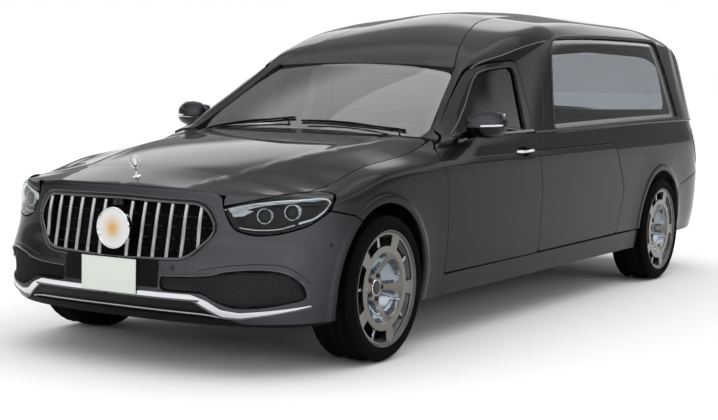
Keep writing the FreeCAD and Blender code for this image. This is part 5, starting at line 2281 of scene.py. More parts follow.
@dataclass
class Doors:
    """Both doors: skins, window frames, glass, handles, trim cards and mirrors."""

    lower: Points = ((.612, .350), (.616, .60), (.612, .786), (.577, .885), (.593, .948),
                     (.648, .978))
    lower_rear: Points = ((1.697, .925), (1.722, .729), (1.716, .424), (1.709, .355))
    frame: Points = ((.648, .985), (.760, 1.046), (1.262, 1.348), (1.372, 1.378), (1.648, 1.408),
                     (1.690, 1.396), (1.694, 1.10), (1.694, 1.022))
    window: Points = ((.765, 1.016), (1.300, 1.334), (1.40, 1.360), (1.625, 1.380), (1.652, 1.35),
                      (1.600, 1.034))

    def build(self) -> None:
        """Builds both doors."""
        belt = [(s, float(BodySide.columns[12](s)) - .004) for s in np.linspace(1.694, .70, 14)]
        outline = SIDE.on_side(rounded(self.lower, 0.04, closed=False) + belt[::-1]
                               + list(self.lower_rear))
        recess = SIDE.on_side([(1.515 + .098 * a, .921 + .030 * b) for a, b in circle(30)])
        skin = panel("door_skin", SIDE, outline, [recess], 0.028, 0.02, guides=FLANK_GUIDES)
        dish = bucket("dish", SIDE, recess, 0.030, 0.80)
        frame_outline = CANOPY_SIDE.on_side(self.frame)
        window = CANOPY_SIDE.on_side(rounded(self.window, 0.03))
        frame = panel("frame", CANOPY_SIDE, frame_outline, [window], 0.03, 0.03)
        shell = joined("door_shell", [skin, dish, frame, *style_lines(.595, 1.40, (6, 8)),
                                      *style_lines(1.62, 1.697, (6, 8))])
        glass = panel("door_glass", Raised(CANOPY_SIDE, -0.014), window_grown(window, 0.006), (),
                      0.05, 0.004, 0.0008)
        seal = bar("seal", CANOPY_SIDE, window, 0.0055, -0.002, True, 8, 0.03)
        inner_line = bar("bright", CANOPY_SIDE, window_grown(window, 0.008), 0.0022, 0.0015, True,
                         6, 0.03)
        waist = bar("waist", CANOPY_SIDE, [(s, .014) for s in np.linspace(.775, 1.690, 14)], 0.0085,
                    -0.003, False, 10)
        inner_line = joined("bright", [inner_line, waist])
        for part, finish in ((shell, PAINT), (glass, DOOR_WINDOW_GLASS), (seal, RUBBER_SEAL),
                             (inner_line, DARK_CHROME)):
            dress(part, finish)
        handle = dress(self.handle(), CHROME)
        card = dress(self.card(), SOFT_BLACK)
        leather = dress(self.armrest(), LEATHER)
        mirror = self.mirror()
        pieces = (("shell", shell, "paint", "door"), ("glass", glass, "glass", "door_glass"),
                  ("seal", seal, "black_trim", None), ("window_line", inner_line, "chrome", None),
                  ("handle", handle, "chrome", None), ("card", card, "soft_black", None),
                  ("armrest", leather, "leather", None),
                  *[(f"mirror_{name}", part, slot, "mirror" if name == "head" else None)
                    for name, part, slot in mirror])
        for side, sign in SIGNS:
            for name, part, slot, node in pieces:
                made = mirrored(part, "copy") if sign < 0 else copied(part)
                made.name = f"door_{name}_{side}"
                fitted(made, Body.DOOR_LEFT if sign > 0 else Body.DOOR_RIGHT, None, slot,
                       [f"{node}_{side}"] if node else ())
        for _, part, _, _ in pieces:
            bpy.data.objects.remove(part)

    def handle(self) -> Object:
        """A pull handle that bridges its recess.

        Returns:
            The handle.
        """
        x, y = .906, FRONT_AXLE
        path = [(x - .022, y + 1.428, .920), (x - .002, y + 1.440, .921),
                (x + .006, y + 1.475, .922), (x + .008, y + 1.515, .923),
                (x + .006, y + 1.555, .924), (x - .002, y + 1.590, .925),
                (x - .022, y + 1.602, .925)]
        return tube("handle", spline(path), 0.0105, 12, flat=0.8)

    def card(self) -> Object:
        """The inner trim card."""
        outline = SIDE.on_side(rounded(((.70, .37), (1.62, .37), (1.64, .98), (.72, .95)), 0.05))
        return panel("card", Raised(SIDE, -0.060), outline, (), 0.05, 0.02)

    def armrest(self) -> Object:
        """The armrest on the card."""
        return box("armrest", (.765, FRONT_AXLE + .98, .660), (.838, FRONT_AXLE + 1.50, .730),
                   0.024, 4)

    def mirror(self) -> list[tuple[str, Object, str]]:
        """The wing mirror: head, black lower half, glass, lamp strip and arm.

        Returns:
            Each part's name, object and slot.
        """
        y = FRONT_AXLE
        rings = []
        for x, half_y, low, high in ((.838, .040, 1.040, 1.092), (.852, .066, 1.016, 1.122),
                                     (.885, .084, 1.007, 1.142), (.930, .090, 1.005, 1.149),
                                     (.970, .086, 1.010, 1.146), (1.002, .070, 1.020, 1.130),
                                     (1.020, .042, 1.042, 1.104)):
            middle = (low + high) / 2
            centre_y = y + .962 + (x - .93) * .24
            ring = []
            for step in range(28):
                angle = 2 * math.pi * step / 28
                a, b = math.cos(angle), math.sin(angle)
                squash = 1.0 if a < 0 else 0.72
                ring.append((x, centre_y + half_y * squash * math.copysign(abs(a) ** .8, a),
                             middle + (high - low) / 2 * math.copysign(abs(b) ** .85, b)))
            rings.append(ring)
        head = loft("head", rings)
        split = 1.062
        upper = cut_by_plane(copied(head), (0, 0, split), (0, 0, -1))
        lower = cut_by_plane(head, (0, 0, split - .004), (0, 0, 1))
        arm = tube("arm", spline([(.835, y + .875, .992), (.862, y + .905, 1.000),
                                  (.890, y + .945, 1.020), (.905, y + .970, 1.045)]), 0.017, 12,
                   flat=0.7)
        foot = box("foot", (.812, y + .800, .978), (.848, y + .925, 1.006), 0.010, 3)
        lower = joined("lower", [lower, arm, foot])
        glass = box("glass", (.862, y + 1.024, 1.028), (.998, y + 1.0275, 1.130), 0.0012, 2)
        strip = tube("strip", spline([(.935, y + .872, 1.068), (.972, y + .888, 1.070),
                                      (1.003, y + .914, 1.072), (1.019, y + .950, 1.073)]), 0.0048,
                     8)
        return [("head", dress(upper, PAINT), "paint"),
                ("base", dress(lower, GLOSS_BLACK), "black_trim"),
                ("glass", dress(glass, SILVER_TRIM), "chrome"),
                ("lamp", dress(strip, WHITE_GUIDE), "lamp_glass")]


# ---------------------------------------------------------------- canopy
@dataclass
class Upper:
    """Side frames, side windows, roof, header and the dark recess over each door."""

    window: Points = ((1.972, 1.030), (4.150, 1.076), (4.040, 1.400), (3.925, 1.583),
                      (3.860, 1.592), (2.200, 1.556), (2.130, 1.520))
    recess: Points = ((1.310, 1.363), (1.40, 1.3925), (1.60, 1.4215), (1.705, 1.4115),
                      (2.055, 1.5235), (1.83, 1.4895), (1.55, 1.4275))

    def build(self) -> None:
        """Builds the canopy."""
        self.build_frames()
        self.build_rear_pillars()
        self.build_windows()
        self.build_roof()

    def build_frames(self) -> None:
        """Screen pillar, cant rail, broad middle pillar and rear pillar as one skin a side."""
        seam = [(s, 0.996) for s in np.linspace(.668, 4.395, 46)]
        rear = [(4.41, .80), (4.46, .68), (4.56, .665), (4.66, .665), (4.69, .60)]
        rear += [(4.70, .30), (4.712, .02)]
        belt = [(s, 0.0) for s in np.linspace(4.60, 1.71, 26)]
        door = CANOPY_SIDE.on_side([(1.702, 1.03), (1.702, 1.10), (1.698, 1.402), (1.650, 1.416),
                                    (1.372, 1.386), (1.258, 1.356), (.752, 1.052), (.66, .995)])
        window = CANOPY_SIDE.on_side(rounded(self.window, 0.05))
        frame = panel("frame", CANOPY_SIDE, seam + rear + belt + door, [window], 0.03, 0.03)
        pair("canopy_frames", frame, PAINT, "paint", ["side_frames"])
        edge = bar("recess_edge", CANOPY_SIDE, CANOPY_SIDE.on_side(
            [(1.285, 1.356), (1.55, 1.430), (1.83, 1.494), (2.066, 1.532)]), 0.004, 0.001, False, 8)
        pair("recess_edges", edge, DARK_CHROME, "chrome")
        sweep = bar("sweep", CANOPY_SIDE, CANOPY_SIDE.on_side(
            [(1.985, 1.47), (1.935, 1.34), (1.893, 1.20), (1.868, 1.12), (1.812, 1.055)]),
                    0.0035, -0.001, False, 8)
        pair("pillar_creases", sweep, PAINT, "paint")
        dark = panel("recess", Raised(CANOPY_SIDE, 0.0022),
                     CANOPY_SIDE.on_side(rounded(self.recess, 0.02)), (), 0.02, 0.002, 0.0006)
        pair("recess_fills", dark, BLACK_PLASTIC, "black_trim")

    def build_rear_pillars(self) -> None:
        """The faces between the hatch and the canopy's corners."""
        outline = [(.6255, 1.052), (.700, 1.054), (.698, 1.10), (.690, 1.20), (.668, 1.36),
                   (.640, 1.45), (.612, 1.525), (.575, 1.575), (.566, 1.556), (.607, 1.462),
                   (.6235, 1.20)]
        pillar = panel("pillar", Raised(HATCH_FACE, -0.002), outline, (), 0.03, 0.03, 0.004)
        pair("rear_pillars", pillar, PAINT, "paint")

    def build_windows(self) -> None:
        """Side glass with its dark frame, seal and inner trim."""
        window = CANOPY_SIDE.on_side(rounded(self.window, 0.05))
        glass = panel("glass", Raised(CANOPY_SIDE, -0.010), window_grown(window, 0.006), (), 0.06,
                      0.005, 0.001)
        pair("side_glass", glass, WINDOW, "glass", ["side_windows"])
        seal = bar("seal", CANOPY_SIDE, window, 0.007, -0.003, True, 8, 0.04)
        pair("side_glass_seals", seal, RUBBER_SEAL, "black_trim")
        line = bar("line", CANOPY_SIDE, window_grown(window, 0.012), 0.0025, 0.0015, True, 6, 0.04)
        pair("side_glass_lines", line, DARK_CHROME, "chrome")
        lining = [(s, 0.975) for s in np.linspace(1.90, 4.34, 26)]
        lining += [(4.40, .80), (4.44, .70), (4.52, .66), (4.62, .64), (4.655, .30), (4.66, .0)]
        lining += [(s, 0.0) for s in np.linspace(4.60, 1.90, 26)]
        trim = panel("trim", Raised(CANOPY_SIDE, -0.036), lining, [window_grown(window, -0.022)],
                     0.05, 0.010)
        pair("canopy_linings", trim, HEADLINER, "fabric_panel")

    def build_roof(self) -> None:
        """The roof skin and its headliner."""
        canopy_x = CANOPY_SIDE.columns[7]
        half = [(0, 1.302), (.30, 1.296), (.560, 1.281)]
        half += [(float(canopy_x(s)) - .003, s) for s in np.linspace(1.30, 4.385, 60)]
        half += [(.29, 4.396), (0, 4.396)]
        roof = panel("roof_skin", ROOF_TOP, symmetric(half), (), 0.035, 0.02)
        fitted(roof, Body.ROOT, PAINT, "paint", ["roof"])
        liner = [(x * .97, s + (.03 if s < 2 else -.03)) for x, s in half]
        fitted(panel("headliner", Raised(ROOF_TOP, -0.030), symmetric(liner), (), 0.08, 0.012),
               Body.ROOT, HEADLINER, "fabric_panel")


# ---------------------------------------------------------------- tail
@dataclass
class Tail:
    """Tailgate, its glass, lamps and the rear bumper."""

    hatch: Points = ((0, 1.640), (.42, 1.600), (.545, 1.560), (.600, 1.460), (.618, 1.20),
                     (.620, 1.045), (0, 1.045))
    glass: Points = ((0, 1.555), (.44, 1.520), (.520, 1.470), (.552, 1.20), (.556, 1.125),
                     (0, 1.110))
    gate: Points = ((0, 1.041), (.620, 1.041), (.620, .56), (0, .56))
    lamp_side: Points = ((4.434, .990), (4.405, .900), (4.563, .746))
    recess: Points = ((-.190, .585), (.190, .585), (.205, .778), (-.205, .778))
    valance: Points = ((0, .392), (.50, .386), (.66, .352), (.79, .300), (.70, .2985), (0, .2985))

    def build(self) -> None:
        """Builds the tail."""
        hatch = panel("hatch", HATCH_FACE, rounded_half(self.hatch, 0.04),
                      [rounded_half(self.glass, 0.05)], 0.03, 0.03)
        gate_outline = self.back(dense(symmetric(self.gate), 0.05))
        recess = self.back(rounded(self.recess, 0.02))
        gate = panel("gate", SIDE, gate_outline, [recess], 0.03, 0.02)
        tray = bucket("tray", SIDE, recess, 0.040, 0.97)
        fitted(joined("tailgate_skin", [hatch, gate, tray]), Body.TAILGATE, PAINT, "paint",
               ["tailgate"])
        self.build_shut_faces()
        pane = panel("tailgate_pane", Raised(HATCH_FACE, -0.008),
                     rounded_half([(x * 1.012, z + (.006 if z > 1.3 else -.006))
                                   for x, z in self.glass], 0.05), (), 0.05, 0.005, 0.001)
        fitted(pane, Body.TAILGATE, REAR_GLASS, "glass", ["tailgate_glass"])
        self.build_gate_trim()
        self.build_lamps()
        self.build_bumper()

    def back(self, points: Points) -> Plan:
        """Plan coordinates of (x, height) seen from behind."""
        return SIDE.on_end(points, True)

    def build_shut_faces(self) -> None:
        """The black flanges of the body that close the gaps round the tailgate."""
        outer = rounded_half([(x * 1.05, z + (.018 if z > 1.3 else 0)) for x, z in self.hatch],
                             0.04)
        inner = rounded_half([(x * 0.955, z - (.030 if z > 1.3 else -.03)) for x, z in self.hatch],
                             .04)
        upper = panel("upper", Raised(HATCH_FACE, -0.037), outer, [inner], 0.04, 0.003)
        ring = [self.back(dense([(-a, low), (a, low), (a, high), (-a, high)], 0.06))
                for a, low, high in ((.665, .520, 1.050), (.590, .585, 1.020))]
        lower = panel("lower", Raised(SIDE, -0.030), ring[0], [ring[1]], 0.05, 0.003)
        fitted(joined("tailgate_flanges", [upper, lower]), Body.ROOT, RUBBER_SEAL, "black_trim")

    def build_gate_trim(self) -> None:
        """Handle strip, plate recess, wiper and the stop lamp."""
        strip = [(x, .800 - .02 * abs(x)) for x in np.linspace(-.50, .50, 21)]
        chrome = bar("gate_strip", SIDE, SIDE.on_end(strip, True), 0.009, 0.002, False, 10)
        fitted(chrome, Body.TAILGATE, CHROME, "chrome")
        low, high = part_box("rear_plate")
        holder = self.back(rounded(((-.165, .596), (.165, .596), (.165, .764), (-.165, .764)), .01))
        lights = [box("light", (x - .022, low.y - .004, .769), (x + .022, low.y + .012, .775), .001,
                      2) for x in (-.08, .08)]
        back = panel("plate_holder_rear", Raised(SIDE, -0.0345), holder, (), 0.03, 0.004)
        fitted(joined("plate_holder_rear", [back, *lights]), Body.TAILGATE, BLACK_PLASTIC,
               "black_plastic")
        fitted(number_plate("number_plate_rear", low, high, 1), Body.TAILGATE, PLATE_WHITE, "plate",
               ["rear_plate"])
        arm = bar("wiper_arm", HATCH_FACE, [(0, 1.100), (-.10, 1.112), (-.34, 1.120)], 0.006, 0.014,
                  False, 8)
        where, facing = on_surface(HATCH_FACE, (0, 1.095))
        cap = disc("cap", where, facing, ((-.004, 0), (-.004, .018), (.010, .016), (.014, .008),
                                          (.014, 0)), 24)
        fitted(joined("tailgate_wiper", [arm, cap]), Body.TAILGATE, BLACK_PLASTIC,
               "black_plastic")
        stop = panel("stop_lamp", Raised(HATCH_FACE, 0.001),
                     [(-.16, 1.572), (.16, 1.572), (.16, 1.588), (-.16, 1.588)], (), 0.02, 0.004,
                     0.001)
        fitted(stop, Body.TAILGATE, RED_LENS, "red_lamp")

    def build_lamps(self) -> None:
        """Red lenses over dark bowls, wrapped round the corners."""
        back = SIDE.on_end([(.632, .746), (.632, .990)], True)
        outline = rounded(SIDE.on_side(self.lamp_side) + back, 0.03)
        lens = panel("lens", Raised(SIDE, 0.0005), outline, (), 0.018, 0.004, 0.0015)
        pair("tail_lamp_lenses", lens, RED_LENS, "red_lamp", ["tail_lamps"])
        bowl = bucket("bowl", SIDE, outline, 0.05, 0.92)
        pair("tail_lamp_bowls", bowl, GLOSS_BLACK, "black_trim")
        ribs = [bar("rim", SIDE, outline, 0.0035, 0.0, True, 8)]
        ends = SIDE.on_side([(4.47, .86)])[0][0], self.back([(.645, .86)])[0][0]
        for z in (.792, .842, .900, .944):
            inset = .05 if z < .8 else 0.0
            line = [(run, z) for run in np.linspace(ends[0] + inset, ends[1], 12)]
            ribs.append(bar("rib", SIDE, line, 0.0024, 0.0012, False, 6))
        pair("tail_lamp_ribs", joined("ribs", ribs), GLOSS_BLACK, "black_trim")
        band = [(run, z) for run, z in ((ends[0] + .02, .852), (ends[1] - .01, .852),
                                        (ends[1] - .01, .888), (ends[0] + .02, .888))]
        bright = panel("bright", Raised(SIDE, 0.0016), dense(rounded(band, .01), .03), (), 0.02,
                       0.002, 0.0008)
        pair("tail_lamp_guides", bright, RED_GUIDE, "red_lamp")
        low = self.back(rounded(((.650, .770), (.790, .770), (.776, .786), (.650, .786)), 0.004))
        reverse = panel("reverse", Raised(SIDE, 0.0016), low, (), 0.02, 0.002, 0.0008)
        pair("reversing_lamps", reverse, WHITE_GUIDE, "lamp_glass")

    def build_bumper(self) -> None:
        """The bumper skin, its black valance, a bright strip, reflectors and sensors."""
        arch = arc((WHEELBASE, WHEEL_Z), ARCH_RADIUS, 43.6, -7.4, 16)
        half = SIDE.on_side(arch + [(4.10, .288), (4.40, .290)])
        half += [p for p in self.back([(x, .300) for x in np.linspace(.70, 0, 8)])
                 if p[0] < TAIL_CENTRE]
        top = self.back([(.627, .554), (.627, .738)])
        top += SIDE.on_side([(4.563, .738), (4.538, .689), (4.066, .611)])
        outline = (half + across(half, TAIL_CENTRE)[::-1] + across(top, TAIL_CENTRE)[::-1] + top)
        skin = panel("bumper_skin_rear", SIDE, outline, (), 0.028,
                     guides=guides_round(TAIL_CENTRE))
        fitted(skin, Body.ROOT, PAINT, "paint", ["rear_bumper"])
        valance = panel("valance", Raised(SIDE, 0.0015), self.back(rounded_half(self.valance, .01)),
                        (), 0.03, 0.006, 0.0015)
        fitted(valance, Body.ROOT, BLACK_PLASTIC, "black_plastic")
        line = self.back([(x, .401 - .046 * (abs(x) / .66) ** 3)
                          for x in np.linspace(-.66, .66, 25)])
        fitted(bar("bumper_strip_rear", SIDE, line, 0.0045, -0.0050, False, 8), Body.ROOT, CHROME,
               "chrome")
        mark = self.back(rounded(((.64, .440), (.77, .440), (.77, .462), (.64, .462)), 0.005))
        reflector = panel("reflector", Raised(SIDE, 0.0015), mark, (), 0.02, 0.004, 0.0012)
        pair("rear_reflectors", reflector, RED_LENS, "red_lamp")
        parking_sensors("rear", [self.back([(x, .505)])[0] for x in (-.55, -.22, .22, .55)], .0022)


# ---------------------------------------------------------------- wheels
@dataclass
class Wheel:
    """A tyre on its alloy rim, built about the origin with its outer face towards +X."""

    tread_radius: float = 0.3395
    half_width: float = 0.1215
    slot_pairs: int = 5
    pitch: float = 72.0  # degrees from one broad spoke to the next
    first_spoke: float = 68.0
    tyre_steps: int = 240
    block: int = 6  # tyre steps from one cross groove to the next
    lugs: int = 5
    hub_shift: float = 0.0345

    def build(self) -> None:
        """Builds one wheel and places a copy at every corner."""
        parts = (("tyre", self.tyre(), TYRE_RUBBER, "tyre_rubber", "tyre"),
                 ("rim_barrel", self.barrel(), WHEEL_BARREL, "alloy", "rim"),
                 ("rim_face", self.face(), WHEEL_FACE, "alloy", None),
                 ("rim_bridges", self.bridges(), WHEEL_DISH, "alloy", None),
                 ("rim_dish", self.dish(), None, "alloy", None),
                 ("lug_wells", self.lug_holes(), GLOSS_BLACK, "black_trim", None),
                 ("hub_cap", self.cap(), GLOSS_BLACK, "black_trim", None),
                 ("hub_ring", self.hub_ring(), CHROME, "chrome", None),
                 ("brake_disc", self.brake_disc(), BRAKE_IRON, "cast", None))
        for corner in ("front_left", "front_right", "rear_left", "rear_right"):
            centre = box_centre(f"rim_{corner}")
            side = 1 if centre.x > 0 else -1
            for name, part, finish, slot, node in parts:
                made = copied(part)
                if side < 0:
                    moved(made, turn=Matrix.Rotation(math.pi, 3, "Z"))
                made.name = f"{name}_{corner}"
                made.location = centre
                bpy.context.view_layer.update()
                fitted(made, f"wheel_{corner}", finish, slot, [f"{node}_{corner}"] if node else ())
        for _, part, _, _, _ in parts:
            bpy.data.objects.remove(part)

    def tyre(self) -> Object:
        """Sidewalls, ribs and grooved shoulders.

        Returns:
            The tyre.
        """
        half, crown = self.half_width, self.tread_radius
        wall = [(.1035, .2600), (.1090, .2680), (.1100, .2730), (.1135, .2760), (.1180, .2860),
                (half, .3000), (half - .0006, .3040), (half - .0030, .3045), (half - .0036, .3090),
                (half - .0070, .3180), (.1060, .3280), (.0985, .3330)]
        grooves = ((.0625, .009), (.0215, .008), (-.0215, .008), (-.0625, .009))
        tread = [(.0930, .3355)]
        for centre, width in grooves:
            top = crown - 0.35 * centre * centre / 0.1
            tread += [(centre + width / 2 + .001, top), (centre + width / 2, top - .0015),
                      (centre + width / 2 - .0012, top - .0075),
                      (centre - width / 2 + .0012, top - .0075), (centre - width / 2, top - .0015),
                      (centre - width / 2 - .001, top)]
        tread += [(-.0930, .3355)]
        inner = [(-.090, .262), (-.104, .300), (-.090, .322), (.090, .322), (.104, .300),
                 (.090, .262)]
        profile = wall + tread + [(-a, r) for a, r in wall[::-1]] + inner
        steps = self.tyre_steps
        first, last = len(wall) - 1, len(wall) + len(tread)
        points = []
        for step in range(steps):
            for index, (axial, radius) in enumerate(profile):
                turn = step
                if first <= index <= last and abs(axial) > .066:
                    turn = step + round(abs(axial) * 60)
                    radius -= .0045 if turn % self.block == 0 else 0
                elif first <= index <= last and radius > .330 and .026 < abs(axial) < .058:
                    radius -= .0030 if (step + self.block // 2) % self.block == 0 else 0
                angle = 2 * math.pi * step / steps
                points.append((axial, radius * math.cos(angle), radius * math.sin(angle)))
        return outward(solid("tyre", points, strips(steps, len(profile), True), 28))

    def barrel(self) -> Object:
        """The rim's well with its bright lip.

        Returns:
            The barrel.
        """
        profile = [(-.1155, .262), (-.1155, .2695), (-.108, .2695), (-.104, .2580), (-.060, .240),
                   (.080, .240), (.104, .2580), (.108, .2695), (.1145, .2695), (.1158, .2680),
                   (.1158, .2640), (.1135, .2615), (.108, .2575), (.098, .2480), (.075, .2330),
                   (-.060, .2320), (-.098, .2460)]
        return turned("barrel", profile, "x", 128, 25)

    def spoke_point(self, radius: float, degrees: float) -> tuple[float, float]:
        """(y, z) of a point on the face, turned from rearwards towards the top."""
        angle = math.radians(degrees)
        return radius * math.cos(angle), radius * math.sin(angle)

    def face(self) -> Object:
        """The flat machined face: an outer ring, five broad spokes and an inner ring.

        Returns:
            The face.
        """
        holes = [circle(120, .1640)]
        for index in range(self.slot_pairs):
            start = self.first_spoke + self.pitch * index
            low = [self.spoke_point(.1960, start + d) for d in np.linspace(8.5, 63.5, 12)]
            high = [self.spoke_point(.2465, start + d) for d in np.linspace(64.0, 8.0, 16)]
            holes.append(rounded(low + high, 0.020, 4))

        def place(a: float, b: float, depth: float) -> tuple[float, float, float]:
            """A point of the flat face, put on the wheel.

            Args:
                a: The first plan coordinate.
                b: The second plan coordinate.
                depth: How deep it goes.

            Returns:
                The point on the wheel.
            """
            reach = math.hypot(a, b)
            return (.1020 + .30 * max(0.0, reach - .240) - depth, a, b)

        return slab("face", circle(120, .2600), 0.014, place, 0.0016, holes, 0.02, 25)

    def bridges(self) -> Object:
        """Thin sunken bars between the broad spokes.

        Returns:
            The bars.
        """
        made = []
        for index in range(self.slot_pairs):
            angle = math.radians(self.first_spoke + self.pitch / 2 + self.pitch * index)
            ends = [(.198, .0115), (.214, .0072), (.232, .0072), (.2570, .0125)]
            rings = []
            for radius, half in ends:
                ring = []
                for a, b in ((-half, -.004), (-half, .002), (-half * .7, .005), (half * .7, .005),
                             (half, .002), (half, -.004)):
                    ring.append((.0890 + b, radius * math.cos(angle) - a * math.sin(angle),
                                 radius * math.sin(angle) + a * math.cos(angle)))
                rings.append(ring)
            made.append(loft("bridge", rings, 30))
        return joined("bridges", made)

    def dish(self) -> Object:
        """The deep centre: five polished hollows between ridges that run in to the hub.

        Returns:
            The dish.
        """
        rings, steps = 34, 200
        radii = np.linspace(.1660, .0300, rings)
        points, hollow = [], []
        for radius in radii:
            share = np.clip((radius - .070) / .095, 0, 1)
            ridge = .0500 + .0510 * share ** 1.3
            for step in range(steps):
                turn = 360 * step / steps - self.first_spoke - self.pitch / 2
                off = (turn + self.pitch / 2) % self.pitch - self.pitch / 2
                petal = 1 - (abs(off) / 29.0) ** 3.2 - (abs(radius - .1130) / .0480) ** 3.2
                depth = np.clip(petal / 0.75, 0, 1)
                depth = depth * depth * (3 - 2 * depth)
                y, z = self.spoke_point(radius, 360 * step / steps)
                points.append((ridge - .0340 * depth, y, z))
                hollow.append(petal > 0.08)
        faces = strips(rings, steps)
        polished = [hollow[face[0]] and hollow[face[2]] for face in faces]
        bowl = solid("bowl", points, faces, 60)
        bowl.data.materials.append(WHEEL_FACE.material())
        bowl.data.materials.append(WHEEL_DISH.material())
        bowl.data.polygons.foreach_set("material_index", [int(p) for p in polished])
        return bowl

    def lug_holes(self) -> Object:
        """Dark wells round the hub with the bolts sunk in them.

        Returns:
            The wells and bolts.
        """
        made = []
        for index in range(self.lugs):
            y, z = self.spoke_point(.0560, self.first_spoke + self.pitch * index)
            well = turned("well", ((.010, 0), (.010, .0135), (.0185, .0135), (.0185, .0115),
                                   (.0120, .0100), (.0120, .0070), (.0155, .0062), (.0155, 0)),
                          "x", 24, 30)
            made.append(moved(well, (self.hub_shift, y, z)))
        return joined("lugs", made)

    def cap(self) -> Object:
        """The plain centre cap.

        Returns:
            The cap.
        """
        cap = turned("cap", ((.008, 0), (.008, .0330), (.0220, .0330), (.0250, .0305),
                             (.0260, .0200), (.0262, 0)), "x", 48, 30)
        return moved(cap, (self.hub_shift, 0, 0))

    def hub_ring(self) -> Object:
        """The ring round the cap.

        Returns:
            The ring.
        """
        ring = turned("ring", ((.010, .0335), (.010, .0385), (.0205, .0380), (.0225, .0360),
                               (.0225, .0340)), "x", 48, 30)
        return moved(ring, (self.hub_shift, 0, 0))

    def brake_disc(self) -> Object:
        """The vented brake disc and its bell.

        Returns:
            The disc.
        """
        return turned("rotor", ((-.0615, .100), (-.0615, .1715), (-.0385, .1715), (-.0385, .100),
                                (-.0330, .0820), (-.0100, .0780), (-.0100, .0300),
                                (-.0160, .0300), (-.0160, .0720), (-.0385, .0760)), "x", 96, 25)


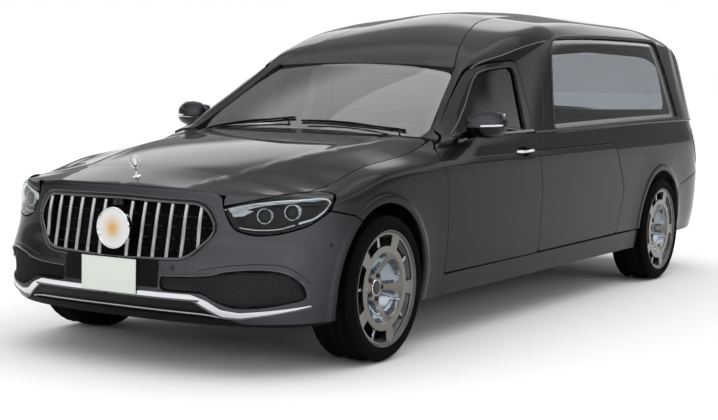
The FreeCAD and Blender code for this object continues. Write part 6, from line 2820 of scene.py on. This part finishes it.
# ---------------------------------------------------------------- cabin and deck
@dataclass
class Cabin:
    """Seats, dashboard, steering wheel, console, partition and wall trim."""

    seat_x: float = 0.40
    cushion_round: float = 0.42  # a cushion's corner radius against its thickness

    def build(self) -> None:
        """Builds what is inside."""
        self.build_seats()
        self.build_dashboard()
        self.build_wheel()
        self.build_console()
        self.build_partition()
        self.build_walls()

    def cushion(self, name: str, low: Sequence, high: Sequence, turn: float = 0.0,
                crown: float = 0.018) -> Object:
        """A stuffed block: rounded, crowned, and tilted about X by turn degrees.

        Args:
            name: The object's name.
            low: The lower corner.
            high: The upper corner.
            turn: The tilt in degrees.
            crown: How far the top bulges.

        Returns:
            The cushion.
        """
        thinnest = min(high[i] - low[i] for i in range(3))
        made = box(name, low, high, thinnest * self.cushion_round, 6)
        edit = bmesh.new()
        edit.from_mesh(made.data)
        bmesh.ops.subdivide_edges(edit, edges=[e for e in edit.edges if e.calc_length() > .08],
                                  cuts=6, use_grid_fill=True)
        middle = (Vector(low) + Vector(high)) / 2
        half = (Vector(high) - Vector(low)) / 2
        thin = min(range(3), key=lambda i: half[i])
        for vertex in edit.verts:
            share = [1 - ((vertex.co[i] - middle[i]) / half[i]) ** 2 for i in range(3) if i != thin]
            swell = crown * max(0, share[0]) * max(0, share[1])
            vertex.co[thin] += math.copysign(swell, vertex.co[thin] - middle[thin])
        edit.to_mesh(made.data)
        edit.free()
        made.data.set_sharp_from_angle(angle=math.radians(60))
        made.data.polygons.foreach_set("use_smooth", [True] * len(made.data.polygons))
        if turn:
            pivot = Matrix.Translation(middle)
            tilt = Matrix.Rotation(math.radians(turn), 4, "X")
            made.data.transform(pivot @ tilt @ pivot.inverted())
        return made

    def build_seats(self) -> None:
        """Two front seats."""
        y = FRONT_AXLE
        soft, hard = [], []
        for side in (1, -1):
            x = side * self.seat_x
            soft.append(self.cushion("base", (x - .20, y + 1.14, .42), (x + .20, y + 1.60, .545),
                                     -5))
            soft.append(self.cushion("back", (x - .20, y + 1.635, .52), (x + .20, y + 1.755, .99),
                                     16))
            for edge in (1, -1):
                at = x + edge * .205
                soft.append(self.cushion("bolster", (at - .038, y + 1.16, .43),
                                         (at + .038, y + 1.58, .575), -5, .004))
                soft.append(self.cushion("bolster", (at - .036, y + 1.615, .56),
                                         (at + .036, y + 1.745, .94), 16, .004))
            soft.append(self.cushion("head", (x - .125, y + 1.725, 1.0),
                                     (x + .125, y + 1.815, 1.125), 6, .008))
            for edge in (1, -1):
                hard.append(tube("post", [(x + edge * .055, y + 1.765, 1.02),
                                          (x + edge * .055, y + 1.745, .94)], .006, 10))
            hard.append(box("frame", (x - .225, y + 1.18, .300), (x + .225, y + 1.62, .425), .03,
                            3))
        pads = joined("front_seats", [dress(s, LEATHER) for s in soft])
        fitted(pads, Body.ROOT, None, "leather", ["seats"])
        fitted(joined("seat_frames", hard), Body.ROOT, SOFT_BLACK, "soft_black")

    def build_dashboard(self) -> None:
        """Top pad, lower panel, binnacle, screen and vents."""
        y = FRONT_AXLE
        rings = []
        for x in np.linspace(-.742, .742, 41):
            hood = 0.028 * math.exp(-((x - self.seat_x) / .16) ** 4)
            dip = 0.015 * (x / .74) ** 2
            profile = rounded([(.672, .705), (.985, .705), (1.020, .780), (.985, .862),
                               (1.005, .905), (.985, .945 + hood - dip),
                               (.905, .975 + hood * .6 - dip), (.770, .975 - dip), (.690, .950)],
                              0.02, 3)
            rings.append([(x, y + s, z) for s, z in profile])
        fitted(loft("dashboard_pad", rings), Body.ROOT, SOFT_BLACK, "soft_black", ["dashboard"])
        screen = box("display", (-.02, y + .955, .905), (.60, y + .966, .990), .006, 3)
        fitted(screen, Body.ROOT, GLOSS_BLACK, "black_trim")
        vents = []
        for x in (-.64, -.09, .0, .09, .66):
            ring = [(x + a, y + 1.012, .868 + b) for a, b in circle(32, .034)]
            vents.append(tube("vent", ring, .005, 8, True))
            for dz in (-.018, 0, .018):
                vents.append(tube("blade", [(x - .028, y + 1.008, .868 + dz),
                                            (x + .028, y + 1.008, .868 + dz)], .0025, 6))
        fitted(joined("dashboard_vents", vents), Body.ROOT, SATIN_CHROME, "chrome")

    def build_wheel(self) -> None:
        """Steering wheel with rim, three spokes and boss."""
        centre = Vector((self.seat_x, FRONT_AXLE + 1.135, .880))
        turn = Matrix.Rotation(math.radians(-65), 3, "X")
        parts = [tube("hoop", [(a, b, 0) for a, b in circle(64, .185)], .0145, 14, True)]
        for angle in (0, 180, 270):
            a = math.radians(angle)
            parts.append(tube("spoke", [(.050 * math.cos(a), .050 * math.sin(a), .004),
                                        (.120 * math.cos(a), .120 * math.sin(a), -.002),
                                        (.180 * math.cos(a), .180 * math.sin(a), 0)], .017, 12,
                              flat=.5))
        boss = disc("boss", (0, 0, 0), (0, 0, 1), ((-.026, 0), (-.026, .045), (.010, .066),
                                                   (.024, .058), (.028, .030), (.029, 0)), 40)
        wheel = joined("steering_wheel_trimmed", parts + [boss])
        moved(wheel, centre, turn)
        fitted(wheel, Body.ROOT, LEATHER, "leather", ["steering_wheel"])
        column = tube("steering_column", [centre + turn @ Vector((0, 0, -.02)),
                                          centre + turn @ Vector((0, 0, -.17))], .034, 16)
        fitted(column, Body.ROOT, SOFT_BLACK, "soft_black")

    def build_console(self) -> None:
        """Console between the seats with its armrest."""
        y = FRONT_AXLE
        rings = []
        for s, half, top in ((1.005, .100, .690), (1.05, .104, .640), (1.12, .106, .600),
                             (1.30, .106, .575), (1.50, .106, .565), (1.76, .104, .560)):
            outline = rounded([(-half, .428), (half, .428), (half, top), (-half, top)], .02, 4)
            rings.append([(x, y + s, z) for x, z in outline])
        fitted(loft("console", rings), Body.ROOT, SOFT_BLACK, "soft_black", ["centre_console"])
        rest = self.cushion("console_armrest", (-.085, y + 1.42, .560), (.085, y + 1.74, .605), 0,
                            .004)
        fitted(rest, Body.ROOT, LEATHER, "leather")

    def build_partition(self) -> None:
        """The wall behind the seats, with a framed window."""
        y = FRONT_AXLE + 1.851
        outline = rounded_half(((0, .505), (.738, .505), (.738, 1.0), (.634, 1.376), (.556, 1.434),
                                (0, 1.434)), .03)
        hole = rounded(((-.555, 1.015), (.555, 1.015), (.555, 1.325), (-.555, 1.325)), .04)

        def place(a: float, b: float, depth: float) -> tuple[float, float, float]:
            """A point of the flat pane, put in the car.

            Args:
                a: The first plan coordinate.
                b: The second plan coordinate.
                depth: How deep it goes.

            Returns:
                The point on the partition.
            """
            return (a, y + depth, b)

        wall = slab("partition_wall", outline, .018, place, .002, [hole], .1)
        fitted(wall, Body.ROOT, WALL_CLOTH, "fabric_panel", ["partition"])
        pane = slab("partition_glass", rounded(((-.56, 1.01), (.56, 1.01), (.56, 1.33),
                                                (-.56, 1.33)), .04), .004,
                    lambda a, b, depth: (a, y + .007 + depth, b), 0, (), .2)
        fitted(pane, Body.ROOT, DOOR_WINDOW_GLASS, "glass")
        frame_bar = tube("partition_frame", [(a, y - .001, b) for a, b in hole], .008, 8, True)
        fitted(frame_bar, Body.ROOT, BLACK_PLASTIC, "black_plastic")

    def build_walls(self) -> None:
        """Trim beside the deck and the front carpet."""
        y = FRONT_AXLE
        walls = []
        for side in (1, -1):
            outline = rounded([(1.90, .80), (4.30, .80), (4.22, 1.03), (1.93, 1.00)], .03)
            walls.append(slab(
                "wall", outline, .02 * side,
                lambda a, b, depth: (side * (.800 - .09 * max(0, (a - 3.7) / .6)) - depth,
                                     y + a, b), 0, (), .15))
        fitted(joined("load_walls", walls), Body.ROOT, WALL_CLOTH, "fabric_panel")
        shelf = []
        for side in (1, -1):
            outline = [(1.92, .575), (4.20, .575), (4.20, .700), (3.90, .776), (1.92, .778)]
            shelf.append(slab("shelf", outline, .012,
                              lambda a, b, depth: (side * b, y + a, .802 - depth), .002, (), .1))
        fitted(joined("deck_side_shelves", shelf), Body.ROOT, CARPET, "fabric_panel")
        mats = [box("mat", (side * .46 - .26, y + .62, .276), (side * .46 + .26, y + 1.10, .284),
                    .003, 2) for side in (1, -1)]
        fitted(joined("floor_mats", mats), Body.ROOT, CARPET, "fabric_panel")
        edge = [(-.552, 1.926), (.552, 1.926), (.552, 4.334), (-.552, 4.334)]
        rail = tube("deck_edge_rail", [(a, y + b, .803) for a, b in rounded(edge, .03)], .006, 8,
                    True)
        fitted(rail, Body.ROOT, STEEL, "steel")


def carry_over() -> None:
    """Gives the CAD nodes that stay in view their materials."""
    kept = {"load_deck": DECK_WOOD, "deck_base": DECK_WOOD, "roller_track": STEEL,
            "engine": CAST_IRON, "radiator": WHEEL_BARREL, "front_subframe": COATED_STEEL,
            "rear_axle": CAST_IRON, "exhaust": STEEL, "fuel_tank": BLACK_PLASTIC,
            "floor_pan": COATED_STEEL, "wheel_liners": BLACK_PLASTIC, "knuckle_left": CAST_IRON,
            "knuckle_right": CAST_IRON}
    for name, finish in kept.items():
        node = frame["nodes"][name]
        for slot in node.material_slots:
            slot.link = "OBJECT"
            slot.material = finish.material()


# ---------------------------------------------------------------- studio
@dataclass
class Studio:
    """A pale floor, one soft lamp, a pale surround and the camera."""

    eye: tuple[float, float, float] = (4.2102, -7.7753, 1.2768)
    yaw: float = 30.827
    pitch: float = 4.974
    roll: float = 1.220
    lens: float = 73.85
    sensor_width: float = 36.0
    floor_reach: float = 300.0
    lamp_strength: float = 0.55
    lamp_angle: float = 75.0
    # Each band starts and ends at a height of the sky and changes its brightness.
    bands: tuple = ((0.06, 0.12, -0.70), (0.20, 0.26, 1.50), (0.40, 0.48, -1.30),
                    (0.62, 0.70, 0.75), (0.90, 0.97, -0.40))

    def build(self) -> None:
        """Sets the stage."""
        self.build_floor()
        self.build_lamp()
        self.build_camera()
        self.build_world()

    def build_floor(self) -> None:
        """A pale floor, wide enough to pass out of view."""
        size = self.floor_reach
        corners = [(-size, -size, 0), (size, -size, 0), (size, size, 0), (-size, size, 0)]
        floor = new_object("floor", corners, [(0, 1, 2, 3)])
        # Matt and without a reflection of its own, so that it only takes the soft shadow.
        paper = Finish("studio_floor_matt_painted", "#f7f7f7", 0.95, grain_mm=3, relief_mm=0.01,
                       spread=0.0, extra={"Specular IOR Level": 0.0})
        floor.data.materials.append(paper.material())

    def build_lamp(self) -> None:
        """One very broad soft lamp from above the nose's far side."""
        lamp = bpy.data.lights.new("soft_lamp", "SUN")
        lamp.energy = self.lamp_strength
        lamp.angle = math.radians(self.lamp_angle)
        made = bpy.data.objects.new("soft_lamp", lamp)
        made.rotation_euler = Vector((0.10, 0.22, 1.0)).to_track_quat("Z", "Y").to_euler()
        bpy.context.scene.collection.objects.link(made)

    def build_camera(self) -> None:
        """The camera, turned by yaw, pitch and roll."""
        data = bpy.data.cameras.new("camera")
        data.lens = self.lens
        data.sensor_width = self.sensor_width
        made = bpy.data.objects.new("camera", data)
        yaw, pitch = math.radians(self.yaw), math.radians(self.pitch)
        back = Vector((math.sin(yaw) * math.cos(pitch), -math.cos(yaw) * math.cos(pitch),
                       math.sin(pitch)))
        right = Vector((math.cos(yaw), math.sin(yaw), 0))
        up = back.cross(right)
        roll = math.radians(self.roll)
        side = right * math.cos(roll) + up * math.sin(roll)
        top = -right * math.sin(roll) + up * math.cos(roll)
        matrix = Matrix((side, top, back)).transposed().to_4x4()
        matrix.translation = Vector(self.eye)
        made.matrix_world = matrix
        bpy.context.scene.collection.objects.link(made)
        bpy.context.scene.camera = made

    def build_world(self) -> None:
        """A surround that is white at the horizon, with dim and bright bands above it."""
        world = bpy.data.worlds.new("surround")
        bpy.context.scene.world = world
        world.use_nodes = True
        tree = world.node_tree
        tree.nodes.clear()
        place = add_node(tree, "TexCoord").outputs["Generated"]
        height = add_node(tree, "SeparateXYZ", None, {0: place}).outputs[2]
        total = None
        for start, end, change in self.bands:
            step = add_node(tree, "MapRange", {"interpolation_type": "SMOOTHSTEP",
                                               "From Min": start, "From Max": end, "To Min": 0.0,
                                               "To Max": change},
                            {"Value": height}).outputs["Result"]
            links = {0: step} if total is None else {0: step, 1: total}
            first = {"operation": "ADD", 1: 1.0} if total is None else {"operation": "ADD"}
            total = add_node(tree, "Math", first, links).outputs[0]
        glow = add_node(tree, "Background", {"Color": (1, 1, 1, 1)}, {"Strength": total})
        add_node(tree, "OutputWorld", None, {"Surface": glow.outputs[0]})
        bpy.context.scene.view_settings.view_transform = "Standard"


def main() -> None:
    """Builds the hearse and its stage."""
    logging.basicConfig(level=logging.INFO, format="%(message)s")
    for assembly in (FrontEnd(), BonnetLid(), Screen(), Flanks(), Doors(), Upper(), Tail(), Wheel(),
                     Cabin()):
        assembly.build()
    carry_over()
    Studio().build()


if __name__ == "__main__":
    main()
